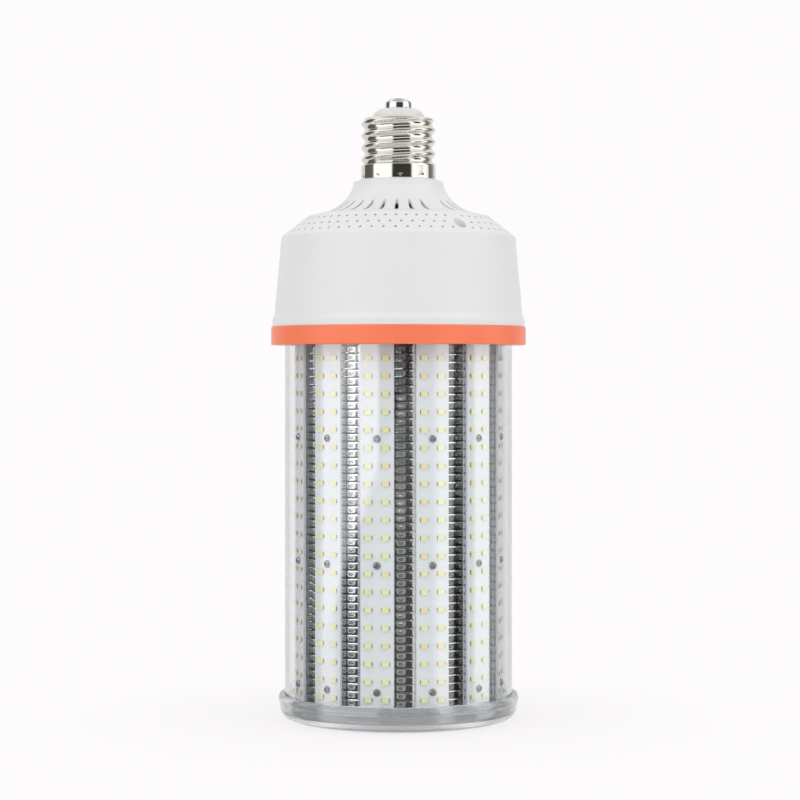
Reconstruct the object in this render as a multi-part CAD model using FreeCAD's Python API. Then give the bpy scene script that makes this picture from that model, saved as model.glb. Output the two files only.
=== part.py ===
import FreeCAD, Part
import math
import os

# Corn LED lamp with a mogul screw cap, one solid for each separate piece, in millimetres.
# Z runs up the lamp's axis from the flat foot of the end cap, and the front faces -Y.

# Clear tube
TUBE_R = 60.25
TUBE_WALL = 2.0
TUBE_LENGTH = 199.2
TUBE_SEAT_DEPTH = 8.1
TUBE_SLIP = 0.2
TUBE_BORE_R = TUBE_R - TUBE_WALL
TUBE_SOCKET_R = TUBE_R + TUBE_SLIP

# End cap, a clear dish with a beaded rim
CAP_HEIGHT = 14.1
CAP_RIM_WALL = 3.25
CAP_RIM_R = TUBE_SOCKET_R + CAP_RIM_WALL
CAP_BEAD_HEIGHT = 4.4
CAP_BEAD_STEP = 0.8
CAP_CORNER_R = 7.0
CAP_FLOOR = 2.4
CAP_RIB_HEIGHT = 8.4
CAP_RIB_T = 2.0
CAP_INNER_BEVEL = 3.0

# Base plate and top plate of the core
BASE_PLATE_GAP = 1.25
BASE_PLATE_R = TUBE_BORE_R - BASE_PLATE_GAP
BASE_PLATE_T = 1.5
BASE_PLATE_OVERHANG = 5.0
CAP_RIB_R = BASE_PLATE_R - BASE_PLATE_OVERHANG - CAP_RIB_T
PLATE_GAP = 0.25
PLATE_R = TUBE_BORE_R - PLATE_GAP
PLATE_T = 2.5
DUCT_R = 33.5

# Housing screws down deep access wells
HOUSING_SCREW_COUNT = 3
HOUSING_SCREW_PHASE_DEG = 34.5
HOUSING_SCREW_EDGE = 2.5
HOUSING_SCREW_CIRCLE_R = PLATE_R - HOUSING_SCREW_EDGE
HOUSING_SCREW_R = 1.5
HOUSING_SCREW_GAP = 0.2
HOUSING_SCREW_HOLE_R = HOUSING_SCREW_R + HOUSING_SCREW_GAP
HOUSING_SCREW_HEAD_R = 2.8
HOUSING_SCREW_HEAD_H = 2.2
HOUSING_SCREW_FLOOR = 9.0
WELL_GAP = 0.5
WELL_R = HOUSING_SCREW_HEAD_R + WELL_GAP
WELL_WALL = 1.7

# Trim ring, clamped between the driver housing and the top plate
RING_SKIRT_T = 7.05
RING_R = TUBE_SOCKET_R + RING_SKIRT_T
RING_HEIGHT = 9.7
RING_GRIP = 7.0
RING_WEB_EDGE = 4.0
RING_WEB_R = HOUSING_SCREW_CIRCLE_R - RING_WEB_EDGE
RING_BEVEL = 0.6
RING_SPIGOT_HEIGHT = 3.0
RING_SPIGOT_T = 1.8
END_PLAY = 0.2

# Mogul screw cap, E39: 39 mm thread at 6.35 mm pitch
THREAD_CREST_R = 19.7
THREAD_DEPTH = 1.75
THREAD_PITCH = 6.35
THREAD_RIDGES = 4
THREAD_GROOVE_W = 0.95
THREAD_CREST_W = 1.8
THREAD_LEAD_IN = 0.3
SKIRT_STEP = 0.05
SKIRT_R = THREAD_CREST_R + SKIRT_STEP
SKIRT_HEIGHT = 7.0
SKIRT_TAPER = 0.8
SHELL_WALL = 0.5
SHELL_TOP_H = 1.85
SHELL_TOP_R = 1.4
SHELL_RIM_W = 2.3
THREAD_ROOT_R = THREAD_CREST_R - THREAD_DEPTH
THREAD_FLANK = (THREAD_PITCH - THREAD_GROOVE_W - THREAD_CREST_W) / 2
ROOT_BORE_R = THREAD_ROOT_R - SHELL_WALL
SKIRT_BORE_R = SKIRT_R - SHELL_WALL
SHELL_RIM_R = THREAD_ROOT_R - SHELL_TOP_R
SHELL_MOUTH_R = SHELL_RIM_R - SHELL_RIM_W

# Insulator and centre contact
CONTACT_R = 7.1
CONTACT_SIDE_H = 3.0
CONTACT_CROWN_H = 2.4
CONTACT_DIMPLE_R = 1.6
CONTACT_DIMPLE_DEPTH = 0.5
CONTACT_STEM_R = 2.5
CONTACT_STEM_LENGTH = 6.0
STEM_GAP = 0.1
INSULATOR_FLANGE_H = 6.5
INSULATOR_DOME_H = 5.5
INSULATOR_DOME_SAG = 1.1
INSULATOR_TOP_STEP = 0.5
INSULATOR_GAP = 0.1
INSULATOR_BEVEL = 1.2

# Driver housing, a moulded shell
LIP_SETBACK = 0.6
LIP_R = RING_R - LIP_SETBACK
LIP_HEIGHT = 4.9
LIP_SLOPE = 0.7
LIP_STEP = 1.1
DRUM_FOOT_R = LIP_R - LIP_STEP
DRUM_DRAFT = 3.8
DRUM_TOP_R = DRUM_FOOT_R - DRUM_DRAFT
DRUM_HEIGHT = 47.5
SHOULDER_RUN = 14.3
SHOULDER_RISE = 11.2
CREST_R = DRUM_TOP_R - SHOULDER_RUN
CREST_RUN = 7.7
CREST_RISE = 1.6
FLARE_FOOT_R = CREST_R - CREST_RUN
FLARE_RISE = 13.7
FLARE_SAG = 2.6
NECK_LEDGE = 3.95
NECK_SHOULDER_R = SKIRT_R + NECK_LEDGE
NECK_DRAFT = 0.5
NECK_R = NECK_SHOULDER_R + NECK_DRAFT
NECK_SIDE_H = 2.8
NECK_CONE_H = 1.3
HOUSING_WALL = 2.3
# Share of the wall by which the inner line drops at the drum's top, and draws in at the crest
DRUM_TOP_DROP = 0.5
CREST_DRAW_IN = 0.33
CAP_SPIGOT_HEIGHT = 4.5
CAP_SPIGOT_T = 2.2
CAP_SPIGOT_GAP = 0.1
HOUSING_BORE_R = DRUM_FOOT_R - HOUSING_WALL
CAP_SPIGOT_R = SKIRT_BORE_R - CAP_SPIGOT_GAP
CAP_SPIGOT_BORE_R = CAP_SPIGOT_R - CAP_SPIGOT_T

# Air slots round the flare
SLOT_POSITIONS = 30
SLOT_PHASE_DEG = -1.5
SLOT_SET_BACK = 6.3
SLOT_RUN_OUT = 0.5
SLOT_INNER_R = NECK_R + SLOT_SET_BACK
SLOT_OUTER_R = FLARE_FOOT_R + SLOT_RUN_OUT
SLOT_TOP_W = 1.3
SLOT_FOOT_W = 2.1

# Light strips on carrier channels, round a twelve-sided finned core
SIDES = 12
SIDE_PHASE_DEG = -11.5
STRIP_AIR = 3.85
STRIP_FACE_R = TUBE_BORE_R - STRIP_AIR
STRIP_W = 17.0
STRIP_T = 1.6
STRIP_TOP_GAP = 0.8
LED_ROWS = 20
LED_FOOT_MARGIN = 4.6
LED_TOP_MARGIN = 10.95
LED_COLUMN_PITCH = 9.0
LED_W = 3.5
LED_H = 2.8
LED_T = 0.7
CARRIER_RAIL = 1.8
CARRIER_W = STRIP_W + 2 * CARRIER_RAIL
CARRIER_DEPTH = 5.0
CARRIER_WALL = 1.5
FIN_PITCH = 4.12
FIN_T = 0.5
FIN_BORE_STEP = 3.5
FIN_BORE_R = DUCT_R - FIN_BORE_STEP
STRIP_BACK_R = STRIP_FACE_R - STRIP_T
FIN_FLAT_R = STRIP_BACK_R - CARRIER_DEPTH

# Cooling fan on the top plate
FAN_RIM = 1.5
FAN_SIZE = 2 * (DUCT_R + FAN_RIM)
FAN_DEPTH = 15.0
FAN_CORNER_R = 4.0
FAN_HOLE_INSET = 4.25
FAN_HOLE_PITCH = FAN_SIZE - 2 * FAN_HOLE_INSET
FAN_STRUT_COUNT = 3
FAN_STRUT_W = 4.0
FAN_STRUT_T = 2.0
FAN_HUB_R = 15.0
FAN_HUB_WALL = 1.6
FAN_HUB_LIFT = 1.0
FAN_HUB_INSET = 1.0
FAN_BEARING_R = 3.6
FAN_BEARING_H = 8.0
FAN_SHAFT_R = 1.5
FAN_SHAFT_RUN = 0.05
FAN_SHAFT_END = 0.3
FAN_BLADES = 7
FAN_BLADE_T = 1.2
FAN_BLADE_PITCH_DEG = 38.0
FAN_TIP_GAP = 0.9

# Driver board on standoffs over the fan
STUD_R = 2.0
STUD_GAP = 0.2
STUD_HOLE_R = STUD_R + STUD_GAP
STUD_GRIP = 1.5
STANDOFF_WALL = 1.2
STANDOFF_R = STUD_R + STANDOFF_WALL
STANDOFF_LENGTH = 18.0
BOARD_EDGE = 3.513
BOARD_R = FAN_HOLE_PITCH / math.sqrt(2) + BOARD_EDGE
BOARD_T = 1.6
BOARD_SCREW_R = 1.4
BOARD_SCREW_DEPTH = 6.0
BOARD_SCREW_GAP = 0.2
BOARD_SCREW_HEAD_R = 2.7
BOARD_SCREW_HEAD_H = 2.0
TRANSFORMER_SIZE = (28.0, 24.0)
TRANSFORMER_H = 21.0
TRANSFORMER_AT = (-20.0, 6.0)
CORE_YOKE = 5.0
WINDING_R = 10.0
# Each can: place across the board, distance from the board's front edge, radius, height
CAPACITORS = ((8.0, 23.0, 8.0, 21.0), (27.0, 31.0, 6.5, 18.0))
CAPACITOR_CRIMP = 0.6
INDUCTOR_FROM_SCREW = (11.75, 8.75)
INDUCTOR_AT = (FAN_HOLE_PITCH / 2 - INDUCTOR_FROM_SCREW[0], FAN_HOLE_PITCH / 2 - INDUCTOR_FROM_SCREW[1])
INDUCTOR_R = 9.0
INDUCTOR_BORE_R = 4.0
INDUCTOR_H = 8.0
HEATSINK_FROM_SCREW = 16.75
HEATSINK_FROM_EDGE = 16.0
HEATSINK_AT = (HEATSINK_FROM_SCREW - FAN_HOLE_PITCH / 2, HEATSINK_FROM_EDGE - BOARD_R)
HEATSINK_SIZE = (22.0, 9.0)
HEATSINK_H = 15.0
HEATSINK_WALL = 2.0
LEAD_R = 0.9
SHELL_LEAD_GAP = 3.45
SHELL_LEAD_R = CAP_SPIGOT_BORE_R - SHELL_LEAD_GAP
SHELL_LEAD_BEND = 2.5
SHELL_LEAD_RISE = 12.0
LEAD_END_GAP = 0.15

# Heights, from the foot up
TUBE_FOOT_Z = CAP_HEIGHT - TUBE_SEAT_DEPTH
TUBE_TOP_Z = TUBE_FOOT_Z + TUBE_LENGTH
RING_FOOT_Z = TUBE_TOP_Z - RING_GRIP
RING_TOP_Z = RING_FOOT_Z + RING_HEIGHT
RING_WEB_Z = TUBE_TOP_Z + END_PLAY
PLATE_Z = RING_WEB_Z - PLATE_T
BASE_PLATE_Z = CAP_FLOOR + CAP_RIB_HEIGHT
CORE_FOOT_Z = BASE_PLATE_Z + BASE_PLATE_T
CORE_HEIGHT = PLATE_Z - CORE_FOOT_Z
STRIP_LENGTH = CORE_HEIGHT - STRIP_TOP_GAP
LED_ROW_PITCH = (STRIP_LENGTH - LED_FOOT_MARGIN - LED_TOP_MARGIN) / (LED_ROWS - 1)
FIN_COUNT = int(CORE_HEIGHT / FIN_PITCH) - 1
FAN_FOOT_Z = RING_WEB_Z
FAN_TOP_Z = FAN_FOOT_Z + FAN_DEPTH
BOARD_Z = FAN_TOP_Z + STANDOFF_LENGTH
BOARD_TOP_Z = BOARD_Z + BOARD_T
DRUM_TOP_Z = RING_TOP_Z + DRUM_HEIGHT
CREST_Z = DRUM_TOP_Z + SHOULDER_RISE
FLARE_FOOT_Z = CREST_Z + CREST_RISE
NECK_FOOT_Z = FLARE_FOOT_Z + FLARE_RISE
NECK_SHOULDER_Z = NECK_FOOT_Z + NECK_SIDE_H
NECK_TOP_Z = NECK_SHOULDER_Z + NECK_CONE_H
THREAD_FOOT_Z = NECK_TOP_Z + SKIRT_HEIGHT + SKIRT_TAPER + THREAD_LEAD_IN
TOP_CREST_Z = THREAD_FOOT_Z + THREAD_PITCH * (THREAD_RIDGES - 1) + THREAD_FLANK + THREAD_CREST_W
SHELL_TOP_Z = TOP_CREST_Z + SHELL_TOP_H
INSULATOR_SEAT_Z = SHELL_TOP_Z - SHELL_WALL
CONTACT_Z = INSULATOR_SEAT_Z + INSULATOR_DOME_H

ORIGIN = FreeCAD.Vector(0, 0, 0)
UP = FreeCAD.Vector(0, 0, 1)
FULL_TURN = 360.0
# Spare length that carries a cutter clear of the face it cuts
OVERCUT = 1.0
# Points closer than this are one point
SAME_POINT = 1e-7


def outline(start, *steps):
    """Flat face in the XZ plane. A step is a point (r, z), or (through, end) for an arc."""
    here = FreeCAD.Vector(start[0], 0, start[1])
    first = here
    edges = []
    for step in steps + (start,):
        if isinstance(step[0], tuple):
            through = FreeCAD.Vector(step[0][0], 0, step[0][1])
            end = FreeCAD.Vector(step[1][0], 0, step[1][1])
            edges.append(Part.Arc(here, through, end).toShape())
        else:
            end = FreeCAD.Vector(step[0], 0, step[1])
            if end.isEqual(here, SAME_POINT):
                continue
            edges.append(Part.makeLine(here, end))
        here = end
    if not here.isEqual(first, SAME_POINT):
        edges.append(Part.makeLine(here, first))
    return Part.Face(Part.Wire(edges))


def bowed(start, end, sag):
    """Arc step from start to end whose middle lies sag to the left of the straight line."""
    run = (end[0] - start[0], end[1] - start[1])
    span = math.hypot(*run)
    middle = ((start[0] + end[0]) / 2, (start[1] + end[1]) / 2)
    through = (middle[0] - run[1] / span * sag, middle[1] + run[0] / span * sag)
    return (through, end)


def corner(centre, radius, start_deg, end_deg):
    """Arc step round a corner centre, between two directions in the XZ plane."""
    middle = math.radians((start_deg + end_deg) / 2)
    last = math.radians(end_deg)
    through = (centre[0] + radius * math.cos(middle), centre[1] + radius * math.sin(middle))
    end = (centre[0] + radius * math.cos(last), centre[1] + radius * math.sin(last))
    return (through, end)


def turned(face):
    """Solid of revolution about the lamp's axis."""
    return face.revolve(ORIGIN, UP, FULL_TURN)


def rod(radius, foot_z, top_z, x=0.0, y=0.0):
    """Upright round bar."""
    return Part.makeCylinder(radius, top_z - foot_z, FreeCAD.Vector(x, y, foot_z), UP)


def tube(outer_r, inner_r, foot_z, top_z):
    """Upright round tube on the axis."""
    return turned(outline((inner_r, foot_z), (outer_r, foot_z), (outer_r, top_z), (inner_r, top_z)))


def block(x_from, x_to, y_from, y_to, z_from, z_to):
    """Box between two corners."""
    size = (x_to - x_from, y_to - y_from, z_to - z_from)
    return Part.makeBox(*size, FreeCAD.Vector(x_from, y_from, z_from))


def spun(shape, angle_deg):
    """Copy of a shape turned about the axis; the front is 0 and the lamp's right is positive."""
    copy = shape.copy()
    copy.rotate(ORIGIN, UP, angle_deg)
    return copy


def prism(points, foot_z, height):
    """Straight-sided solid on a plan outline of (x, y) points."""
    corners = [FreeCAD.Vector(x, y, foot_z) for x, y in points]
    return Part.Face(Part.makePolygon(corners + corners[:1])).extrude(UP * height)


def polygon_ring(flat_r, bore_r, foot_z, height):
    """Regular twelve-sided plate with its flats behind the light strips, and a bore of as many sides."""
    half = math.pi / SIDES
    start = math.radians(SIDE_PHASE_DEG - 90.0) + half
    turns = [start + 2 * half * side for side in range(SIDES)]
    outer = [(math.cos(t) * flat_r / math.cos(half), math.sin(t) * flat_r / math.cos(half)) for t in turns]
    inner = [(math.cos(t) * bore_r, math.sin(t) * bore_r) for t in turns]
    overlap = foot_z - OVERCUT
    return prism(outer, foot_z, height).cut(prism(inner, overlap, height + 2 * OVERCUT))


def side_angles():
    """Direction of each light strip, from the front."""
    return [SIDE_PHASE_DEG + FULL_TURN / SIDES * side for side in range(SIDES)]


def housing_screw_angles():
    """Direction of each housing screw, from the front."""
    return [HOUSING_SCREW_PHASE_DEG + FULL_TURN / HOUSING_SCREW_COUNT * n for n in range(HOUSING_SCREW_COUNT)]


def fan_corners():
    """Plan places of the four fan bolts, which the driver board shares."""
    reach = FAN_HOLE_PITCH / 2
    return [(x, y) for x in (-reach, reach) for y in (-reach, reach)]


def end_cap():
    """Clear dish: rounded foot, beaded rim, a ledge for the tube and a rib for the base plate."""
    side_r = CAP_RIM_R - CAP_BEAD_STEP
    foot_r = side_r - CAP_CORNER_R
    bead_z = CAP_HEIGHT - CAP_BEAD_HEIGHT
    bead_r = CAP_BEAD_HEIGHT / 2
    return turned(outline(
        (0, 0),
        (foot_r, 0),
        corner((foot_r, CAP_CORNER_R), CAP_CORNER_R, -90, 0),
        (side_r, bead_z),
        (CAP_RIM_R, bead_z),
        (CAP_RIM_R, CAP_HEIGHT - bead_r),
        corner((CAP_RIM_R - bead_r, CAP_HEIGHT - bead_r), bead_r, 0, 90),
        (TUBE_SOCKET_R, CAP_HEIGHT),
        (TUBE_SOCKET_R, TUBE_FOOT_Z),
        (TUBE_BORE_R, TUBE_FOOT_Z),
        (TUBE_BORE_R, CAP_FLOOR + CAP_INNER_BEVEL),
        (TUBE_BORE_R - CAP_INNER_BEVEL, CAP_FLOOR),
        (CAP_RIB_R + CAP_RIB_T, CAP_FLOOR),
        (CAP_RIB_R + CAP_RIB_T, BASE_PLATE_Z),
        (CAP_RIB_R, BASE_PLATE_Z),
        (CAP_RIB_R, CAP_FLOOR),
        (0, CAP_FLOOR),
    ))


def clear_tube():
    """Clear sleeve over the light strips."""
    return tube(TUBE_R, TUBE_BORE_R, TUBE_FOOT_Z, TUBE_TOP_Z)


def screw_holes(radius, foot_z, top_z):
    """Cutters on the housing screw circle."""
    hole = rod(radius, foot_z, top_z, 0.0, -HOUSING_SCREW_CIRCLE_R)
    return [spun(hole, angle) for angle in housing_screw_angles()]


def trim_ring():
    """Coloured collar: a skirt round the tube, a web that the screws clamp and a spigot for the housing."""
    spigot_r = HOUSING_BORE_R - TUBE_SLIP
    spigot_top = RING_TOP_Z + RING_SPIGOT_HEIGHT
    edge_r = RING_R - RING_BEVEL
    ring = turned(outline(
        (TUBE_SOCKET_R, RING_FOOT_Z),
        (edge_r, RING_FOOT_Z),
        (RING_R, RING_FOOT_Z + RING_BEVEL),
        (RING_R, RING_TOP_Z - RING_BEVEL),
        (edge_r, RING_TOP_Z),
        (spigot_r, RING_TOP_Z),
        (spigot_r, spigot_top),
        (spigot_r - RING_SPIGOT_T, spigot_top),
        (spigot_r - RING_SPIGOT_T, RING_TOP_Z),
        (RING_WEB_R, RING_TOP_Z),
        (RING_WEB_R, RING_WEB_Z),
        (TUBE_SOCKET_R, RING_WEB_Z),
    ))
    return ring.cut(screw_holes(HOUSING_SCREW_HOLE_R, RING_WEB_Z - OVERCUT, RING_TOP_Z + OVERCUT))


def housing_skin(inset):
    """Outer line of the housing from its foot to the top of the neck, moved inwards by a wall."""
    flare_foot = (FLARE_FOOT_R, FLARE_FOOT_Z - inset)
    neck_foot = (NECK_R - inset, NECK_FOOT_Z)
    return [
        (DRUM_FOOT_R - inset, RING_TOP_Z + LIP_HEIGHT + LIP_SLOPE),
        (DRUM_TOP_R - inset, DRUM_TOP_Z - inset * DRUM_TOP_DROP),
        (CREST_R - inset * CREST_DRAW_IN, CREST_Z - inset),
        flare_foot,
        bowed(flare_foot, neck_foot, -FLARE_SAG),
    ]


def air_slots():
    """Tapered upright cutters through the flare, with none above the screw wells."""
    plan = (
        (-SLOT_TOP_W / 2, -SLOT_INNER_R),
        (SLOT_TOP_W / 2, -SLOT_INNER_R),
        (SLOT_FOOT_W / 2, -SLOT_OUTER_R),
        (-SLOT_FOOT_W / 2, -SLOT_OUTER_R),
    )
    slot = prism(plan, DRUM_TOP_Z, NECK_TOP_Z - DRUM_TOP_Z)
    step = FULL_TURN / SLOT_POSITIONS
    angles = [SLOT_PHASE_DEG + step * n for n in range(SLOT_POSITIONS)]
    over_wells = [round((angle - SLOT_PHASE_DEG) / step) % SLOT_POSITIONS for angle in housing_screw_angles()]
    return [spun(slot, angle) for n, angle in enumerate(angles) if n not in over_wells]


def driver_housing():
    """Moulded shell: lip, drafted drum, sloped shoulder, flared neck, screw wells and air slots."""
    foot = RING_TOP_Z
    spigot_top = NECK_TOP_Z + CAP_SPIGOT_HEIGHT
    outside = [
        (LIP_R, foot),
        (LIP_R, foot + LIP_HEIGHT),
        *housing_skin(0.0),
        (NECK_SHOULDER_R, NECK_SHOULDER_Z),
        (SKIRT_R, NECK_TOP_Z),
        (CAP_SPIGOT_R, NECK_TOP_Z),
        (CAP_SPIGOT_R, spigot_top),
    ]
    filled = turned(outline((0, foot), *outside, (0, spigot_top)))
    hollow = turned(outline(
        (0, foot - OVERCUT),
        (HOUSING_BORE_R, foot - OVERCUT),
        *housing_skin(HOUSING_WALL),
        (CAP_SPIGOT_BORE_R, NECK_FOOT_Z + HOUSING_WALL),
        (CAP_SPIGOT_BORE_R, spigot_top + OVERCUT),
        (0, spigot_top + OVERCUT),
    ))
    post = rod(WELL_R + WELL_WALL, foot, NECK_TOP_Z, 0.0, -HOUSING_SCREW_CIRCLE_R)
    posts = [spun(post, angle).common(filled) for angle in housing_screw_angles()]
    shell = filled.cut(hollow).fuse(posts)
    well_floor = foot + HOUSING_SCREW_FLOOR
    shell = shell.cut(screw_holes(WELL_R, well_floor, NECK_TOP_Z))
    shell = shell.cut(screw_holes(HOUSING_SCREW_HOLE_R, foot - OVERCUT, well_floor + OVERCUT))
    spigot_room_r = HOUSING_BORE_R - 2 * TUBE_SLIP - RING_SPIGOT_T
    spigot_room = tube(HOUSING_BORE_R, spigot_room_r, foot, foot + RING_SPIGOT_HEIGHT + TUBE_SLIP)
    return shell.cut(spigot_room).cut(air_slots()).removeSplitter()


def housing_screws():
    """Pan-head screws in the wells, through the ring's web into the top plate."""
    head_z = RING_TOP_Z + HOUSING_SCREW_FLOOR
    head = rod(HOUSING_SCREW_HEAD_R, head_z, head_z + HOUSING_SCREW_HEAD_H, 0.0, -HOUSING_SCREW_CIRCLE_R)
    shank = rod(HOUSING_SCREW_R, PLATE_Z, head_z, 0.0, -HOUSING_SCREW_CIRCLE_R)
    screw = head.fuse(shank).removeSplitter()
    return Part.makeCompound([spun(screw, angle) for angle in housing_screw_angles()])


def thread_line():
    """Side line of the rolled thread, ridge by ridge, up to the crest of the top ridge."""
    line = []
    for ridge in range(THREAD_RIDGES):
        foot_z = THREAD_FOOT_Z + THREAD_PITCH * ridge
        crest_z = foot_z + THREAD_FLANK
        line += [
            (THREAD_ROOT_R, foot_z),
            (THREAD_CREST_R, crest_z),
            (THREAD_CREST_R, crest_z + THREAD_CREST_W),
            (THREAD_ROOT_R, crest_z + THREAD_CREST_W + THREAD_FLANK),
        ]
    return line[:-1]


def screw_shell():
    """Plated shell: plain skirt, rolled mogul thread, and a rim turned in over the insulator."""
    taper_z = NECK_TOP_Z + SKIRT_HEIGHT
    root_z = taper_z + SKIRT_TAPER
    shoulder_z = SHELL_TOP_Z - SHELL_TOP_R
    return turned(outline(
        (SKIRT_BORE_R, NECK_TOP_Z),
        (SKIRT_R, NECK_TOP_Z),
        (SKIRT_R, taper_z),
        (THREAD_ROOT_R, root_z),
        *thread_line(),
        (SHELL_RIM_R, SHELL_TOP_Z),
        (SHELL_MOUTH_R, SHELL_TOP_Z),
        (SHELL_MOUTH_R, INSULATOR_SEAT_Z),
        (SHELL_RIM_R, INSULATOR_SEAT_Z),
        corner((SHELL_RIM_R, shoulder_z), SHELL_TOP_R - SHELL_WALL, 90, 0),
        (ROOT_BORE_R, root_z - SHELL_WALL / 2),
        (SKIRT_BORE_R, taper_z - SHELL_WALL / 2),
    ))


def cap_insulator():
    """White insulator: a flange under the shell's rim and a dome through its mouth."""
    foot_z = INSULATOR_SEAT_Z - INSULATOR_FLANGE_H
    flange_r = ROOT_BORE_R - INSULATOR_GAP
    dome_r = SHELL_MOUTH_R - INSULATOR_GAP
    bore_r = CONTACT_STEM_R + STEM_GAP
    dome_foot = (dome_r, INSULATOR_SEAT_Z + SHELL_WALL)
    dome_top = (CONTACT_R + INSULATOR_TOP_STEP, CONTACT_Z)
    return turned(outline(
        (bore_r, foot_z),
        (flange_r, foot_z),
        (flange_r, INSULATOR_SEAT_Z - INSULATOR_BEVEL),
        (flange_r - INSULATOR_BEVEL, INSULATOR_SEAT_Z),
        (dome_r, INSULATOR_SEAT_Z),
        dome_foot,
        bowed(dome_foot, dome_top, -INSULATOR_DOME_SAG),
        (bore_r, CONTACT_Z),
    ))


def centre_contact():
    """Plated contact button with a crowned, dimpled top and a stem down the insulator."""
    side_z = CONTACT_Z + CONTACT_SIDE_H
    top_z = side_z + CONTACT_CROWN_H
    crown_r = CONTACT_R - CONTACT_CROWN_H
    stem_z = CONTACT_Z - CONTACT_STEM_LENGTH
    return turned(outline(
        (0, stem_z),
        (CONTACT_STEM_R, stem_z),
        (CONTACT_STEM_R, CONTACT_Z),
        (CONTACT_R, CONTACT_Z),
        (CONTACT_R, side_z),
        corner((crown_r, side_z), CONTACT_CROWN_H, 0, 90),
        (CONTACT_DIMPLE_R, top_z),
        (0, top_z - CONTACT_DIMPLE_DEPTH),
    ))


def top_plate():
    """Metal plate under the ring's web, with the fan's air duct and tapped holes."""
    plate = tube(PLATE_R, DUCT_R, PLATE_Z, PLATE_Z + PLATE_T)
    holes = screw_holes(HOUSING_SCREW_HOLE_R, PLATE_Z - OVERCUT, RING_WEB_Z + OVERCUT)
    studs = [rod(STUD_HOLE_R, PLATE_Z - OVERCUT, RING_WEB_Z + OVERCUT, x, y) for x, y in fan_corners()]
    return plate.cut(holes + studs)


def base_plate():
    """Metal disc that closes the foot of the core and stands on the end cap's rib."""
    return rod(BASE_PLATE_R, BASE_PLATE_Z, CORE_FOOT_Z)


def fin_stack():
    """Stack of thin twelve-sided fins between the carriers."""
    first_z = CORE_FOOT_Z + FIN_PITCH - FIN_T
    fin = polygon_ring(FIN_FLAT_R, FIN_BORE_R, first_z, FIN_T)
    fins = []
    for level in range(FIN_COUNT):
        copy = fin.copy()
        copy.translate(UP * (FIN_PITCH * level))
        fins.append(copy)
    return Part.makeCompound(fins)


def strip_carrier(angle):
    """Channel from the base plate to the top plate, with its legs on the fins and the strip on its web."""
    half = CARRIER_W / 2
    inner = half - CARRIER_WALL
    front = -STRIP_BACK_R
    back = -FIN_FLAT_R
    plan = (
        (-half, front),
        (half, front),
        (half, back),
        (inner, back),
        (inner, front + CARRIER_WALL),
        (-inner, front + CARRIER_WALL),
        (-inner, back),
        (-half, back),
    )
    return spun(prism(plan, CORE_FOOT_Z, CORE_HEIGHT), angle)


def led_strip(angle):
    """White circuit board on the carrier's web."""
    half = STRIP_W / 2
    board = block(-half, half, -STRIP_FACE_R, -STRIP_BACK_R, CORE_FOOT_Z, CORE_FOOT_Z + STRIP_LENGTH)
    return spun(board, angle)


def strip_leds(angle):
    """Two columns of surface-mount emitters on one strip."""
    emitters = []
    for row in range(LED_ROWS):
        z = CORE_FOOT_Z + LED_FOOT_MARGIN + LED_ROW_PITCH * row
        for side in (-1, 1):
            x = side * LED_COLUMN_PITCH / 2
            emitter = block(x - LED_W / 2, x + LED_W / 2, -STRIP_FACE_R - LED_T, -STRIP_FACE_R,
                            z - LED_H / 2, z + LED_H / 2)
            emitters.append(spun(emitter, angle))
    return Part.makeCompound(emitters)


def fan_frame():
    """Square fan frame with its duct, bolt holes, motor plate on struts and bearing tube."""
    half = FAN_SIZE / 2
    body = block(-half, half, -half, half, FAN_FOOT_Z, FAN_TOP_Z)
    upright = [edge for edge in body.Edges if edge.Vertexes[0].Z != edge.Vertexes[-1].Z]
    body = body.makeFillet(FAN_CORNER_R, upright)
    below = FAN_FOOT_Z - OVERCUT
    above = FAN_TOP_Z + OVERCUT
    body = body.cut([rod(STUD_HOLE_R, below, above, x, y) for x, y in fan_corners()])
    body = body.cut(rod(DUCT_R, below, above))
    strut_top = FAN_FOOT_Z + FAN_STRUT_T
    strut = block(-FAN_STRUT_W / 2, FAN_STRUT_W / 2, -DUCT_R - OVERCUT, 0.0, FAN_FOOT_Z, strut_top)
    step = FULL_TURN / FAN_STRUT_COUNT
    struts = [spun(strut, step * n) for n in range(FAN_STRUT_COUNT)]
    motor_plate = rod(FAN_HUB_R, FAN_FOOT_Z, strut_top)
    bearing = rod(FAN_BEARING_R, FAN_FOOT_Z, strut_top + FAN_BEARING_H)
    bore_z = FAN_FOOT_Z + FAN_STRUT_T / 2
    bore = rod(FAN_SHAFT_R + FAN_SHAFT_RUN, bore_z, FAN_TOP_Z)
    return body.fuse(struts + [motor_plate, bearing]).cut(bore).removeSplitter()


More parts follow.
